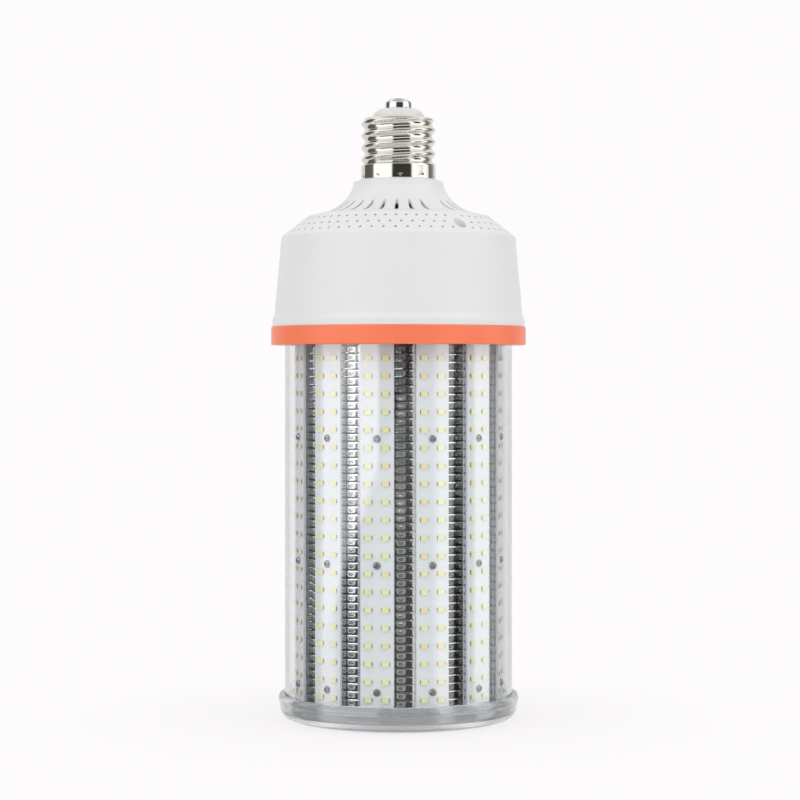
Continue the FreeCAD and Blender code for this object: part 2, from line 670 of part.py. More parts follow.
def fan_rotor():
    """Fan wheel: a cup hub over the bearing, its shaft, and pitched blades."""
    foot_z = FAN_FOOT_Z + FAN_STRUT_T + FAN_HUB_LIFT
    top_z = FAN_TOP_Z - FAN_HUB_INSET
    inner_r = FAN_HUB_R - FAN_HUB_WALL
    shaft_z = FAN_FOOT_Z + FAN_STRUT_T / 2 + FAN_SHAFT_END
    hub = turned(outline(
        (0, shaft_z),
        (FAN_SHAFT_R, shaft_z),
        (FAN_SHAFT_R, top_z - FAN_HUB_WALL),
        (inner_r, top_z - FAN_HUB_WALL),
        (inner_r, foot_z),
        (FAN_HUB_R, foot_z),
        (FAN_HUB_R, top_z),
        (0, top_z),
    ))
    tip_r = DUCT_R - FAN_TIP_GAP
    root_r = FAN_HUB_R - FAN_HUB_WALL / 2
    half_t = FAN_BLADE_T / 2
    blade_z = (foot_z + top_z) / 2
    reach = FAN_SIZE / 2
    blade = block(-reach, reach, -reach, 0.0, blade_z - half_t, blade_z + half_t)
    blade.rotate(FreeCAD.Vector(0, 0, blade_z), FreeCAD.Vector(0, 1, 0), FAN_BLADE_PITCH_DEG)
    step = FULL_TURN / FAN_BLADES
    wedge = math.radians(step) * root_r / 2
    sector = block(-wedge, wedge, -reach, 0.0, foot_z, top_z)
    sweep = tube(tip_r, root_r, foot_z, top_z)
    blade = blade.common(sector).common(sweep)
    return hub.fuse([spun(blade, step * n) for n in range(FAN_BLADES)]).removeSplitter()


def board_standoffs():
    """Posts over the fan's corners, each with a stud through the fan into the top plate."""
    posts = []
    bore_r = BOARD_SCREW_R + BOARD_SCREW_GAP
    bore_z = BOARD_Z - BOARD_SCREW_DEPTH - BOARD_SCREW_GAP
    for x, y in fan_corners():
        post = rod(STANDOFF_R, FAN_TOP_Z, BOARD_Z, x, y)
        stud = rod(STUD_R, FAN_FOOT_Z - STUD_GRIP, FAN_TOP_Z, x, y)
        bore = rod(bore_r, bore_z, BOARD_Z, x, y)
        posts.append(post.fuse(stud).cut(bore).removeSplitter())
    return Part.makeCompound(posts)


def driver_board():
    """Round circuit board of the driver, with its screw holes."""
    board = rod(BOARD_R, BOARD_Z, BOARD_TOP_Z)
    hole_r = BOARD_SCREW_R + BOARD_SCREW_GAP
    return board.cut([rod(hole_r, BOARD_Z - OVERCUT, BOARD_TOP_Z + OVERCUT, x, y) for x, y in fan_corners()])


def board_screws():
    """Pan-head screws that hold the driver board on its standoffs."""
    screws = []
    for x, y in fan_corners():
        head = rod(BOARD_SCREW_HEAD_R, BOARD_TOP_Z, BOARD_TOP_Z + BOARD_SCREW_HEAD_H, x, y)
        shank = rod(BOARD_SCREW_R, BOARD_Z - BOARD_SCREW_DEPTH, BOARD_TOP_Z, x, y)
        screws.append(head.fuse(shank).removeSplitter())
    return Part.makeCompound(screws)


def driver_transformer():
    """Ferrite core of two yokes and side limbs round a wound bobbin."""
    x, y = TRANSFORMER_AT
    half_x = TRANSFORMER_SIZE[0] / 2
    half_y = TRANSFORMER_SIZE[1] / 2
    top_z = BOARD_TOP_Z + TRANSFORMER_H
    core = block(x - half_x, x + half_x, y - half_y, y + half_y, BOARD_TOP_Z, top_z)
    window = block(x - half_x + CORE_YOKE, x + half_x - CORE_YOKE, y - half_y - OVERCUT, y + half_y + OVERCUT,
                   BOARD_TOP_Z + CORE_YOKE, top_z - CORE_YOKE)
    winding = rod(WINDING_R, BOARD_TOP_Z + CORE_YOKE, top_z - CORE_YOKE, x, y)
    return core.cut(window).fuse(winding).removeSplitter()


def driver_capacitors():
    """Upright electrolytic cans with a crimped shoulder."""
    cans = []
    for x, from_edge, radius, height in CAPACITORS:
        top_z = BOARD_TOP_Z + height
        can = turned(outline(
            (0, BOARD_TOP_Z),
            (radius, BOARD_TOP_Z),
            (radius, top_z - CAPACITOR_CRIMP),
            (radius - CAPACITOR_CRIMP, top_z),
            (0, top_z),
        ))
        can.translate(FreeCAD.Vector(x, from_edge - BOARD_R, 0))
        cans.append(can)
    return Part.makeCompound(cans)


def driver_inductor():
    """Ring-wound choke lying on the board."""
    x, y = INDUCTOR_AT
    top_z = BOARD_TOP_Z + INDUCTOR_H
    ring = rod(INDUCTOR_R, BOARD_TOP_Z, top_z, x, y)
    return ring.cut(rod(INDUCTOR_BORE_R, BOARD_TOP_Z - OVERCUT, top_z + OVERCUT, x, y))


def driver_heatsink():
    """Folded channel that cools the switching transistors."""
    x, y = HEATSINK_AT
    half_x = HEATSINK_SIZE[0] / 2
    half_y = HEATSINK_SIZE[1] / 2
    inner = half_y - HEATSINK_WALL
    top_z = BOARD_TOP_Z + HEATSINK_H
    bar = block(x - half_x, x + half_x, y - half_y, y + half_y, BOARD_TOP_Z, top_z)
    groove = block(x - half_x - OVERCUT, x + half_x + OVERCUT, y - inner, y + inner,
                   BOARD_TOP_Z + HEATSINK_WALL, top_z + OVERCUT)
    return bar.cut(groove)


def centre_lead():
    """Straight wire from the driver board to the contact's stem."""
    return rod(LEAD_R, BOARD_TOP_Z, CONTACT_Z - CONTACT_STEM_LENGTH)


def shell_lead():
    """Wire from the driver board up inside the neck, bent out to the screw shell."""
    bend_z = NECK_TOP_Z + SHELL_LEAD_RISE
    side = SHELL_LEAD_R
    end_r = ROOT_BORE_R - LEAD_END_GAP
    rise_top = FreeCAD.Vector(side, 0, bend_z - SHELL_LEAD_BEND)
    slant = SHELL_LEAD_BEND * (1 - math.cos(math.radians(45)))
    through = FreeCAD.Vector(side + slant, 0, bend_z - slant)
    bend_end = FreeCAD.Vector(side + SHELL_LEAD_BEND, 0, bend_z)
    foot = FreeCAD.Vector(side, 0, BOARD_TOP_Z)
    path = Part.Wire([
        Part.makeLine(foot, rise_top),
        Part.Arc(rise_top, through, bend_end).toShape(),
        Part.makeLine(bend_end, FreeCAD.Vector(end_r, 0, bend_z)),
    ])
    section = Part.Wire([Part.makeCircle(LEAD_R, foot, UP)])
    return path.makePipeShell([section], True, False)


def pieces():
    """Every sub-part by name."""
    built = {
        "end_cap": end_cap(),
        "clear_tube": clear_tube(),
        "trim_ring": trim_ring(),
        "driver_housing": driver_housing(),
        "housing_screws": housing_screws(),
        "screw_shell": screw_shell(),
        "cap_insulator": cap_insulator(),
        "centre_contact": centre_contact(),
        "top_plate": top_plate(),
        "base_plate": base_plate(),
        "fin_stack": fin_stack(),
        "fan_frame": fan_frame(),
        "fan_rotor": fan_rotor(),
        "board_standoffs": board_standoffs(),
        "driver_board": driver_board(),
        "board_screws": board_screws(),
        "driver_transformer": driver_transformer(),
        "driver_capacitors": driver_capacitors(),
        "driver_inductor": driver_inductor(),
        "driver_heatsink": driver_heatsink(),
        "centre_lead": centre_lead(),
        "shell_lead": shell_lead(),
    }
    for number, angle in enumerate(side_angles(), start=1):
        built[f"strip_carrier_{number:02d}"] = strip_carrier(angle)
        built[f"led_strip_{number:02d}"] = led_strip(angle)
        built[f"strip_leds_{number:02d}"] = strip_leds(angle)
    return built


os.makedirs("parts", exist_ok=True)
for name, shape in pieces().items():
    shape.exportStep(os.path.join("parts", name + ".step"))
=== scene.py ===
import logging
import math
from dataclasses import dataclass, field
from enum import Enum
from typing import Optional, Sequence

import bpy
import bmesh
from mathutils import Matrix, Vector


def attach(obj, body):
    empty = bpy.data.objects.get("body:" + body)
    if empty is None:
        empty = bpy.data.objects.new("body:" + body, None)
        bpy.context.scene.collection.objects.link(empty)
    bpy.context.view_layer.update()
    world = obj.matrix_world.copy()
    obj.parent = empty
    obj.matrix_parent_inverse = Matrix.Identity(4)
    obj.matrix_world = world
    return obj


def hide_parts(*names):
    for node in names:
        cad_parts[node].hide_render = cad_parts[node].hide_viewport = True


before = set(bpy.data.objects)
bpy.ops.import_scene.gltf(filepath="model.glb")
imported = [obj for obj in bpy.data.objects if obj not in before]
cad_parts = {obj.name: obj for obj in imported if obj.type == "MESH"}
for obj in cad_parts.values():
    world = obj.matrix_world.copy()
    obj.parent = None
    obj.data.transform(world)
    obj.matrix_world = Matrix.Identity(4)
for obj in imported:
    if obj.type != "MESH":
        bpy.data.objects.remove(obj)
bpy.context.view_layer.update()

# Looks of the corn LED lamp. Sizes are in millimetres and are turned into metres when a mesh is made.
# The front faces -Y, and directions round the axis are degrees from the front, positive to the right.

LAMP_BODY = "lamp"
MM = 0.001
FULL_TURN_DEG = 360.0
RIGHT_ANGLE_DEG = 90.0
SIDES = 12
FIRST_SIDE_DEG = -11.5
SIDE_STEP_DEG = FULL_TURN_DEG / SIDES
FIRST_GAP_DEG = FIRST_SIDE_DEG + SIDE_STEP_DEG / 2
LATHE_STEPS = 192
SHARP_EDGE_DEG = 32.0
SMALL_PART_EDGE_DEG = 40.0
THREAD_EDGE_DEG = 50.0
NOISE_DETAIL = 3.0
# A ray with fewer bounces than this has none.
FIRST_BOUNCE = 0.5
# A profile point nearer to the axis than this is a pole.
AXIS_R = 1e-6
# Most of a side that a rounded corner takes, and the place of the point that keeps the rest of it straight.
CORNER_SHARE = 0.48
HOLD = 0.35
HOLD_SHARE = 0.4
# Every copy of a ring is farther than this from a well, in radians.
NO_LIMIT = -1.0

Point = tuple[float, float]
Corner = tuple[float, float, float]
Colour = tuple[float, float, float]
Loop = Sequence[Sequence[float]]
Input = float | bpy.types.NodeSocket

log = logging.getLogger("corn_lamp")


class Slot(Enum):
    """Material slots of the record."""

    CLEAR = "clear_plastic"
    HOUSING = "housing_white"
    RING = "ring_orange"
    NICKEL = "nickel_plate"
    CERAMIC = "cap_ceramic"
    ALUMINIUM = "bright_aluminium"
    STRIP = "strip_board"
    PHOSPHOR = "led_phosphor"
    STEEL = "screw_steel"


# Nodes


class Graph:
    """Node tree under construction."""

    def __init__(self, tree: bpy.types.NodeTree) -> None:
        """Take the tree to add nodes to.

        Args:
            tree: Node tree of a material, world or Geometry Nodes group.
        """
        self.tree = tree

    def set(self, node: bpy.types.Node, inputs: dict) -> None:
        """Set or link a node's inputs.

        Args:
            node: Node of the tree.
            inputs: Values or sockets for its inputs, by name or number.
        """
        for key, value in inputs.items():
            if isinstance(value, bpy.types.NodeSocket):
                self.tree.links.new(value, node.inputs[key])
            else:
                node.inputs[key].default_value = value

    def node(self, kind: str, inputs: Optional[dict] = None, **options) -> bpy.types.Node:
        """Add a node.

        Args:
            kind: Node type.
            inputs: Values or sockets for its inputs, by name or number.
            options: Properties of the node.

        Returns:
            The new node.
        """
        made = self.tree.nodes.new(kind)
        for key, value in options.items():
            setattr(made, key, value)
        self.set(made, inputs or {})
        return made

    def math(self, operation: str, a: Input, b: Input = 0.0, c: Input = 0.0) -> bpy.types.NodeSocket:
        """Math node on values or sockets.

        Args:
            operation: Math operation.
            a: First value or socket.
            b: Second value or socket.
            c: Third value or socket.

        Returns:
            The result's socket.
        """
        return self.node("ShaderNodeMath", {0: a, 1: b, 2: c}, operation=operation).outputs["Value"]

    def noise(self, vector: bpy.types.NodeSocket, scale: float) -> bpy.types.NodeSocket:
        """Noise of one scale on a coordinate.

        Args:
            vector: Coordinate socket.
            scale: Patches for each metre.

        Returns:
            The noise's value socket.
        """
        inputs = {"Vector": vector, "Scale": scale, "Detail": NOISE_DETAIL}
        return self.node("ShaderNodeTexNoise", inputs).outputs["Fac"]

    def steps(self, value: bpy.types.NodeSocket, stops: Sequence[Point]) -> bpy.types.NodeSocket:
        """Grey level that follows a value from 0 to 1.

        Args:
            value: Value socket.
            stops: Values with their levels, in order.

        Returns:
            The level's colour socket.
        """
        made = self.node("ShaderNodeValToRGB", {"Fac": value})
        ramp = made.color_ramp
        while len(ramp.elements) < len(stops):
            ramp.elements.new(1.0)
        for element, (position, level) in zip(ramp.elements, stops):
            element.position = position
            element.color = (level, level, level, 1.0)
        return made.outputs["Color"]

    def mirror_ray(self) -> bpy.types.NodeSocket:
        """1 for a ray that has met a glossy surface on its way, and 0 for the rest."""
        path = self.node("ShaderNodeLightPath")
        return self.math("GREATER_THAN", path.outputs["Glossy Depth"], FIRST_BOUNCE)

    def plain_view(self) -> bpy.types.NodeSocket:
        """Tell what is seen straight or through clear plastic.

        Returns:
            Socket of 1 for such a ray, and 0 for the rest.
        """
        path = self.node("ShaderNodeLightPath")
        seen = self.math("MAXIMUM", path.outputs["Is Camera Ray"], path.outputs["Is Transmission Ray"])
        bounces = self.math("ADD", path.outputs["Glossy Depth"], path.outputs["Diffuse Depth"])
        return self.math("MULTIPLY", seen, self.math("LESS_THAN", bounces, FIRST_BOUNCE))


# Finishes

TONE = "tone"
NOISE_LOW = 0.3
NOISE_HIGH = 0.7


@dataclass(frozen=True)
class Finish:
    """Opaque finish: a colour that drifts a little, a gloss that varies, and a fine relief.

    Args:
        name: Material name.
        colour: Mean colour.
        drift: Share by which the colour darkens and lightens over the surface.
        drift_scale: Patches of drift for each metre.
        gloss: Lowest and highest roughness.
        gloss_scale: Patches of gloss for each metre.
        metal: 1 for bare metal, 0 for the rest.
        grain_scale: Grains of relief for each metre.
        grain_depth: Relief in metres.
        stretch: How the grain is drawn out along X, Y and Z.
        tone_colour: Colour that a piece's own tone attribute mixes in, if any.
    """

    name: str
    colour: Colour
    drift: float = 0.03
    drift_scale: float = 30.0
    gloss: tuple[float, float] = (0.35, 0.45)
    gloss_scale: float = 60.0
    metal: float = 0.0
    grain_scale: float = 2500.0
    grain_depth: float = 0.00001
    stretch: tuple[float, float, float] = (1.0, 1.0, 1.0)
    tone_colour: Optional[Colour] = None

    def material(self) -> bpy.types.Material:
        """Build the material.

        Returns:
            The new material.
        """
        made = bpy.data.materials.new(self.name)
        made.use_nodes = True
        graph = Graph(made.node_tree)
        place = graph.node("ShaderNodeTexCoord").outputs["Object"]
        drawn = graph.node("ShaderNodeMapping", {"Vector": place, "Scale": self.stretch}).outputs["Vector"]
        gloss = graph.node("ShaderNodeMapRange", {
            "Value": graph.noise(drawn, self.gloss_scale),
            "From Min": NOISE_LOW,
            "From Max": NOISE_HIGH,
            "To Min": self.gloss[0],
            "To Max": self.gloss[1],
        })
        grain = graph.node("ShaderNodeBump", {
            "Strength": 1.0,
            "Distance": self.grain_depth,
            "Height": graph.noise(drawn, self.grain_scale),
        })
        graph.set(graph.tree.nodes["Principled BSDF"], {
            "Base Color": self._colour(graph, place),
            "Metallic": self.metal,
            "Roughness": gloss.outputs["Result"],
            "Normal": grain.outputs["Normal"],
        })
        return made

    def _colour(self, graph: Graph, place: bpy.types.NodeSocket) -> bpy.types.NodeSocket:
        """Colour that drifts over the surface, and with the piece's tone where it has one.

        Args:
            graph: The material's graph.
            place: Coordinate socket.

        Returns:
            The colour's socket.
        """
        mix = graph.node("ShaderNodeMix", data_type="RGBA")
        graph.set(mix, {
            "Factor": graph.noise(place, self.drift_scale),
            "A": (*(c * (1 - self.drift) for c in self.colour), 1.0),
            "B": (*(min(1.0, c * (1 + self.drift)) for c in self.colour), 1.0),
        })
        if self.tone_colour is None:
            return mix.outputs["Result"]
        tone = graph.node("ShaderNodeAttribute", attribute_name=TONE)
        toned = graph.node("ShaderNodeMix", data_type="RGBA")
        graph.set(toned, {
            "Factor": tone.outputs["Fac"],
            "A": mix.outputs["Result"],
            "B": (*self.tone_colour, 1.0),
        })
        return toned.outputs["Result"]


@dataclass(frozen=True)
class ClearFinish:
    """Clear plastic that lets lamps through to what it covers.

    Args:
        name: Material name.
        tint: Colour of the plastic.
        clearness: Share of light that goes through rather than scatters.
        gloss: Lowest and highest roughness.
        gloss_scale: Patches of gloss for each metre.
        ripple_scale: Ripples of relief for each metre.
        ripple_depth: Relief in metres.
        index: Refractive index.
        coat: Weight of a hard clear coat, which strengthens what the plastic mirrors.
        lamp_share: Share of lamp light that passes.
    """

    name: str
    tint: Colour
    clearness: float = 1.0
    gloss: tuple[float, float] = (0.01, 0.03)
    gloss_scale: float = 40.0
    ripple_scale: float = 25.0
    ripple_depth: float = 0.00001
    index: float = 1.49
    coat: float = 0.0
    lamp_share: float = 0.92

    def material(self) -> bpy.types.Material:
        """Build the material.

        Returns:
            The new material.
        """
        made = bpy.data.materials.new(self.name)
        made.use_nodes = True
        graph = Graph(made.node_tree)
        place = graph.node("ShaderNodeTexCoord").outputs["Object"]
        haze = graph.node("ShaderNodeMapRange", {
            "Value": graph.noise(place, self.gloss_scale),
            "To Min": self.gloss[0],
            "To Max": self.gloss[1],
        })
        ripple = graph.node("ShaderNodeBump", {
            "Distance": self.ripple_depth,
            "Height": graph.noise(place, self.ripple_scale),
        })
        plastic = graph.tree.nodes["Principled BSDF"]
        graph.set(plastic, {
            "Base Color": (*self.tint, 1.0),
            "Transmission Weight": self.clearness,
            "IOR": self.index,
            "Coat Weight": self.coat,
            "Coat IOR": self.index,
            "Coat Roughness": self.gloss[0],
            "Roughness": haze.outputs["Result"],
            "Normal": ripple.outputs["Normal"],
        })
        share = self.lamp_share
        through = graph.node("ShaderNodeBsdfTransparent", {"Color": (share, share, share, 1.0)})
        path = graph.node("ShaderNodeLightPath")
        mix = graph.node("ShaderNodeMixShader", {
            "Fac": graph.math("MAXIMUM", path.outputs["Is Shadow Ray"], path.outputs["Is Diffuse Ray"]),
            1: plastic.outputs["BSDF"],
            2: through.outputs["BSDF"],
        })
        graph.set(graph.tree.nodes["Material Output"], {"Surface": mix.outputs["Shader"]})
        return made


HOUSING_WHITE = Finish("housing_white_satin", (0.79, 0.80, 0.795), drift=0.012, gloss=(0.38, 0.46),
                       grain_scale=3200.0, grain_depth=0.000012)
# Painted shade: the inside of the housing is the same white plastic, coloured dark grey because little light
# gets in there.
HOUSING_INSIDE_SHADE = Finish("housing_inside_painted_shade", (0.16, 0.16, 0.16), drift=0.05, gloss=(0.70, 0.80))
RING_ORANGE = Finish("ring_orange_satin", (1.0, 0.215, 0.10), drift=0.03, gloss=(0.30, 0.40),
                     grain_scale=3000.0, grain_depth=0.00001)
NICKEL = Finish("nickel_plate", (0.73, 0.715, 0.66), drift=0.05, gloss=(0.06, 0.12), metal=1.0,
                gloss_scale=150.0, grain_scale=400.0, grain_depth=0.000008, stretch=(1.0, 1.0, 12.0))
CONTACT_NICKEL = Finish("contact_nickel", (0.72, 0.72, 0.71), drift=0.04, gloss=(0.08, 0.16), metal=1.0,
                        gloss_scale=300.0, grain_scale=900.0, grain_depth=0.000006)
CERAMIC_WHITE = Finish("insulator_white", (0.74, 0.73, 0.71), drift=0.02, gloss=(0.25, 0.36),
                       grain_scale=1800.0, grain_depth=0.000012)
BRIGHT_FIN = Finish("bright_fin_sheet", (0.80, 0.81, 0.82), drift=0.05, gloss=(0.10, 0.22), metal=1.0,
                    gloss_scale=260.0, grain_scale=700.0, grain_depth=0.00001, stretch=(1.0, 1.0, 3.0))
# Fin sheets: the tabs' aluminium made rougher, and darkened as painted shade for the sheets deep between the
# carriers.
SHADED_FIN = Finish("fin_sheet_painted_shade", (0.30, 0.30, 0.31), drift=0.06, gloss=(0.40, 0.55), metal=1.0,
                  gloss_scale=260.0, grain_scale=900.0, grain_depth=0.00001)
PLATE_ALUMINIUM = Finish("plate_aluminium", (0.80, 0.81, 0.82), drift=0.04, gloss=(0.20, 0.34), metal=1.0,
                         gloss_scale=200.0, grain_scale=1200.0, grain_depth=0.00001)
STRIP_MASK = Finish("strip_solder_mask", (0.86, 0.905, 0.93), drift=0.025, drift_scale=45.0,
                    gloss=(0.24, 0.34), grain_scale=2600.0, grain_depth=0.000008)
LED_FRAME = Finish("led_frame_white", (0.90, 0.90, 0.82), drift=0.02, gloss=(0.35, 0.45),
                   grain_scale=6000.0, grain_depth=0.000006)
LED_PHOSPHOR = Finish("led_phosphor_gel", (1.0, 0.86, 0.45), drift=0.05, drift_scale=500.0,
                      gloss=(0.22, 0.34), grain_scale=9000.0, grain_depth=0.000008,
                      tone_colour=(0.98, 0.99, 0.47))
SOLDER_TIN = Finish("solder_tin", (0.42, 0.42, 0.41), drift=0.08, gloss=(0.25, 0.40), metal=1.0,
                    grain_scale=5000.0, grain_depth=0.00001)
# Screw plating: its own grey, made darker still so that the heads look as dark as they do when mirroring the
# dark room in front. That extra darkness is painted shade.
SCREW_STEEL = Finish("screw_zinc_plate_and_shade", (0.33, 0.33, 0.325), drift=0.06, gloss=(0.06, 0.12), metal=1.0,
                     gloss_scale=600.0, grain_scale=2500.0, grain_depth=0.000008)
FAN_BLACK = Finish("fan_black_moulded", (0.022, 0.022, 0.025), drift=0.1, gloss=(0.40, 0.55))
LAMINATE_GREEN = Finish("driver_laminate_green", (0.03, 0.16, 0.07), drift=0.08, gloss=(0.30, 0.42))
FERRITE_DARK = Finish("ferrite_dark", (0.05, 0.05, 0.055), drift=0.15, gloss=(0.55, 0.70))
SLEEVE_BLACK = Finish("capacitor_sleeve_black", (0.03, 0.03, 0.045), drift=0.05, gloss=(0.25, 0.35))
COPPER_LEAD = Finish("copper_lead_wire", (0.72, 0.40, 0.22), drift=0.06, gloss=(0.20, 0.35), metal=1.0)
TUBE_CLEAR = ClearFinish("tube_clear", (0.975, 0.98, 0.982), index=1.585, coat=0.6,
                         lamp_share=0.985)
CAP_CLEAR = ClearFinish("end_cap_clear", (0.82, 0.835, 0.845), clearness=0.86, gloss=(0.03, 0.06),
                        ripple_scale=40.0, ripple_depth=0.000002, lamp_share=0.8)


# Mesh helpers


def new_object(name: str, mesh: bpy.types.Mesh) -> bpy.types.Object:
    """Object for a mesh, in the scene.

    Args:
        name: Object name.
        mesh: Its mesh.

    Returns:
        The new object.
    """
    made = bpy.data.objects.new(name, mesh)
    bpy.context.scene.collection.objects.link(made)
    return made


def mesh_of(name: str, vertices: Loop, faces: Sequence[Sequence[int]]) -> bpy.types.Mesh:
    """Mesh from points in millimetres.

    Args:
        name: Mesh name.
        vertices: Points in millimetres.
        faces: Vertex numbers of each face.

    Returns:
        The new mesh, in metres.
    """
    made = bpy.data.meshes.new(name)
    made.from_pydata([tuple(c * MM for c in v) for v in vertices], [], faces)
    made.update()
    return made


def smooth(mesh: bpy.types.Mesh, angle_deg: float = SHARP_EDGE_DEG) -> None:
    """Shade a mesh smooth, with sharp edges past an angle.

    Args:
        mesh: Mesh to shade.
        angle_deg: Angle between faces past which their edge is sharp.
    """
    mesh.polygons.foreach_set("use_smooth", [True] * len(mesh.polygons))
    mesh.set_sharp_from_angle(angle=math.radians(angle_deg))


def rounded(points: Loop, steps: int = 5) -> list[Point]:
    """Closed profile with rounded corners, each held by a point on the straights beside it.

    Args:
        points: Corners as (r, z) or (r, z, corner radius).
        steps: Segments of each rounded corner.

    Returns:
        Profile points, anticlockwise if the corners are.
    """
    line: list[Point] = []
    count = len(points)
    for n, corner in enumerate(points):
        here = Vector(corner[:2])
        radius = corner[2] if len(corner) > 2 else 0.0
        if radius == 0.0:
            line.append((here.x, here.y))
            continue
        before = Vector(points[n - 1][:2]) - here
        after = Vector(points[(n + 1) % count][:2]) - here
        half = before.angle(after) / 2
        reach = min(radius / math.tan(half), CORNER_SHARE * before.length, CORNER_SHARE * after.length)
        start = here + before.normalized() * reach
        end = here + after.normalized() * reach
        along = [step / steps for step in range(steps + 1)]
        spots = [start * (1 - t) ** 2 + here * (2 * t * (1 - t)) + end * t ** 2 for t in along]
        hold_before = min(HOLD, HOLD_SHARE * (before.length - reach))
        hold_after = min(HOLD, HOLD_SHARE * (after.length - reach))
        spots.insert(0, start + before.normalized() * hold_before)
        spots.append(end + after.normalized() * hold_after)
        line += [(spot.x, spot.y) for spot in spots]
    return line


def bowed(start: Point, end: Point, sag: float, steps: int = 12) -> list[Point]:
    """Points of a curve between two points, ends left out.

    Args:
        start: First point.
        end: Last point.
        sag: How far the middle lies to the left of the straight line.
        steps: Segments of the curve.

    Returns:
        The points between the ends.
    """
    a, b = Vector(start), Vector(end)
    run = b - a
    left = Vector((-run.y, run.x)).normalized()
    spots = [a + run * t + left * (4 * sag * t * (1 - t)) for t in (n / steps for n in range(1, steps))]
    return [(s.x, s.y) for s in spots]


def lathe(name: str, profile: Sequence[Point], steps: int = LATHE_STEPS) -> bpy.types.Object:
    """Solid of revolution of a closed profile about the axis.

    Args:
        name: Object name.
        profile: (r, z) points, anticlockwise; points on the axis become poles.
        steps: Segments round the axis.

    Returns:
        The new object, shaded smooth.
    """
    turns = [(math.cos(t), math.sin(t)) for t in (2 * math.pi * n / steps for n in range(steps))]
    vertices: list[tuple[float, float, float]] = []
    rows: list[list[int]] = []
    for r, z in profile:
        first = len(vertices)
        if r < AXIS_R:
            vertices.append((0.0, 0.0, z))
            rows.append([first] * steps)
        else:
            vertices += [(r * c, r * s, z) for c, s in turns]
            rows.append(list(range(first, first + steps)))
    faces = []
    for row, above in zip(rows, rows[1:] + rows[:1]):
        if row[0] == row[1] and above[0] == above[1]:
            continue
        for n in range(steps):
            m = (n + 1) % steps
            corners = [row[n], row[m], above[m], above[n]]
            faces.append(list(dict.fromkeys(corners)))
    made = new_object(name, mesh_of(name, vertices, faces))
    smooth(made.data)
    return made


def loft_mesh(name: str, near: Loop, far: Loop) -> bpy.types.Mesh:
    """Closed solid between two loops of as many points.

    Args:
        name: Mesh name.
        near: Points of the near end, anticlockwise seen from that end.
        far: The same points at the far end.

    Returns:
        The new mesh.
    """
    count = len(near)
    faces = [list(range(count)), list(range(2 * count - 1, count - 1, -1))]
    for n in range(count):
        m = (n + 1) % count
        faces.append([n, n + count, m + count, m])
    return mesh_of(name, [*near, *far], faces)


def prism_mesh(name: str, outline: Sequence[Point], y_front: float, y_back: float) -> bpy.types.Mesh:
    """Plate with an outline in X and Z, from a front to a back.

    Args:
        name: Mesh name.
        outline: (x, z) points, anticlockwise seen from the front.
        y_front: Front face, at the smaller Y.
        y_back: Back face.

    Returns:
        The new mesh.
    """
    front, back = ([(x, y, z) for x, z in outline] for y in (y_front, y_back))
    return loft_mesh(name, front, back)


def joined(name: str, meshes: Sequence[bpy.types.Mesh]) -> bpy.types.Mesh:
    """One mesh from several.

    Args:
        name: Mesh name.
        meshes: Meshes to join, which are then removed.

    Returns:
        The joined mesh, with its faces pointing outwards.
    """
    both = bmesh.new()
    for part in meshes:
        both.from_mesh(part)
        bpy.data.meshes.remove(part)
    bmesh.ops.recalc_face_normals(both, faces=both.faces)
    made = bpy.data.meshes.new(name)
    both.to_mesh(made)
    both.free()
    return made


def evaluated_mesh(piece: bpy.types.Object) -> bpy.types.Mesh:
    """Plain mesh of an object with its modifiers applied.

    Args:
        piece: Object with modifiers.

    Returns:
        The new mesh.
    """
    graph = bpy.context.evaluated_depsgraph_get()
    return bpy.data.meshes.new_from_object(piece.evaluated_get(graph), depsgraph=graph)


def settle(piece: bpy.types.Object) -> bpy.types.Object:
    """Apply an object's modifiers to its mesh and remove them.

    Args:
        piece: Object with modifiers.

    Returns:
        The same object.
    """
    bpy.context.view_layer.update()
    mesh = evaluated_mesh(piece)
    piece.modifiers.clear()
    spare = piece.data
    piece.data = mesh
    bpy.data.meshes.remove(spare)
    return piece


def carve(piece: bpy.types.Object, cutter: bpy.types.Object) -> None:
    """Cut one closed object out of another and remove the cutter.

    Args:
        piece: Object to cut.
        cutter: Closed cutter.
    """
    cut = piece.modifiers.new("carve", "BOOLEAN")
    cut.operation = "DIFFERENCE"
    cut.solver = "EXACT"
    cut.object = cutter
    settle(piece)
    discard(cutter)


def discard(piece: bpy.types.Object) -> None:
    """Remove an object and its mesh."""
    mesh = piece.data
    bpy.data.objects.remove(piece)
    bpy.data.meshes.remove(mesh)


def dress(piece: bpy.types.Object, material: bpy.types.Material) -> None:
    """Give an object one material.

    Args:
        piece: Object to dress.
        material: Its material.
    """
    piece.data.materials.clear()
    piece.data.materials.append(material)


def fit(piece: bpy.types.Object, slot: Slot, *nodes: str) -> bpy.types.Object:
    """Let a piece ride on the lamp and stand for CAD nodes.

    Args:
        piece: Finished piece.
        slot: The record's material slot; not used.
        nodes: CAD nodes that it stands for.

    Returns:
        The same piece.
    """
    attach(piece, LAMP_BODY)
    if nodes:
        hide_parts(*nodes)
    log.info("%s: %d faces", piece.name, len(piece.data.polygons))
    return piece


def numbered(stem: str) -> list[str]:
    """Names of a piece that each of the sides has."""
    return [f"{stem}_{n:02d}" for n in range(1, SIDES + 1)]


# Geometry Nodes


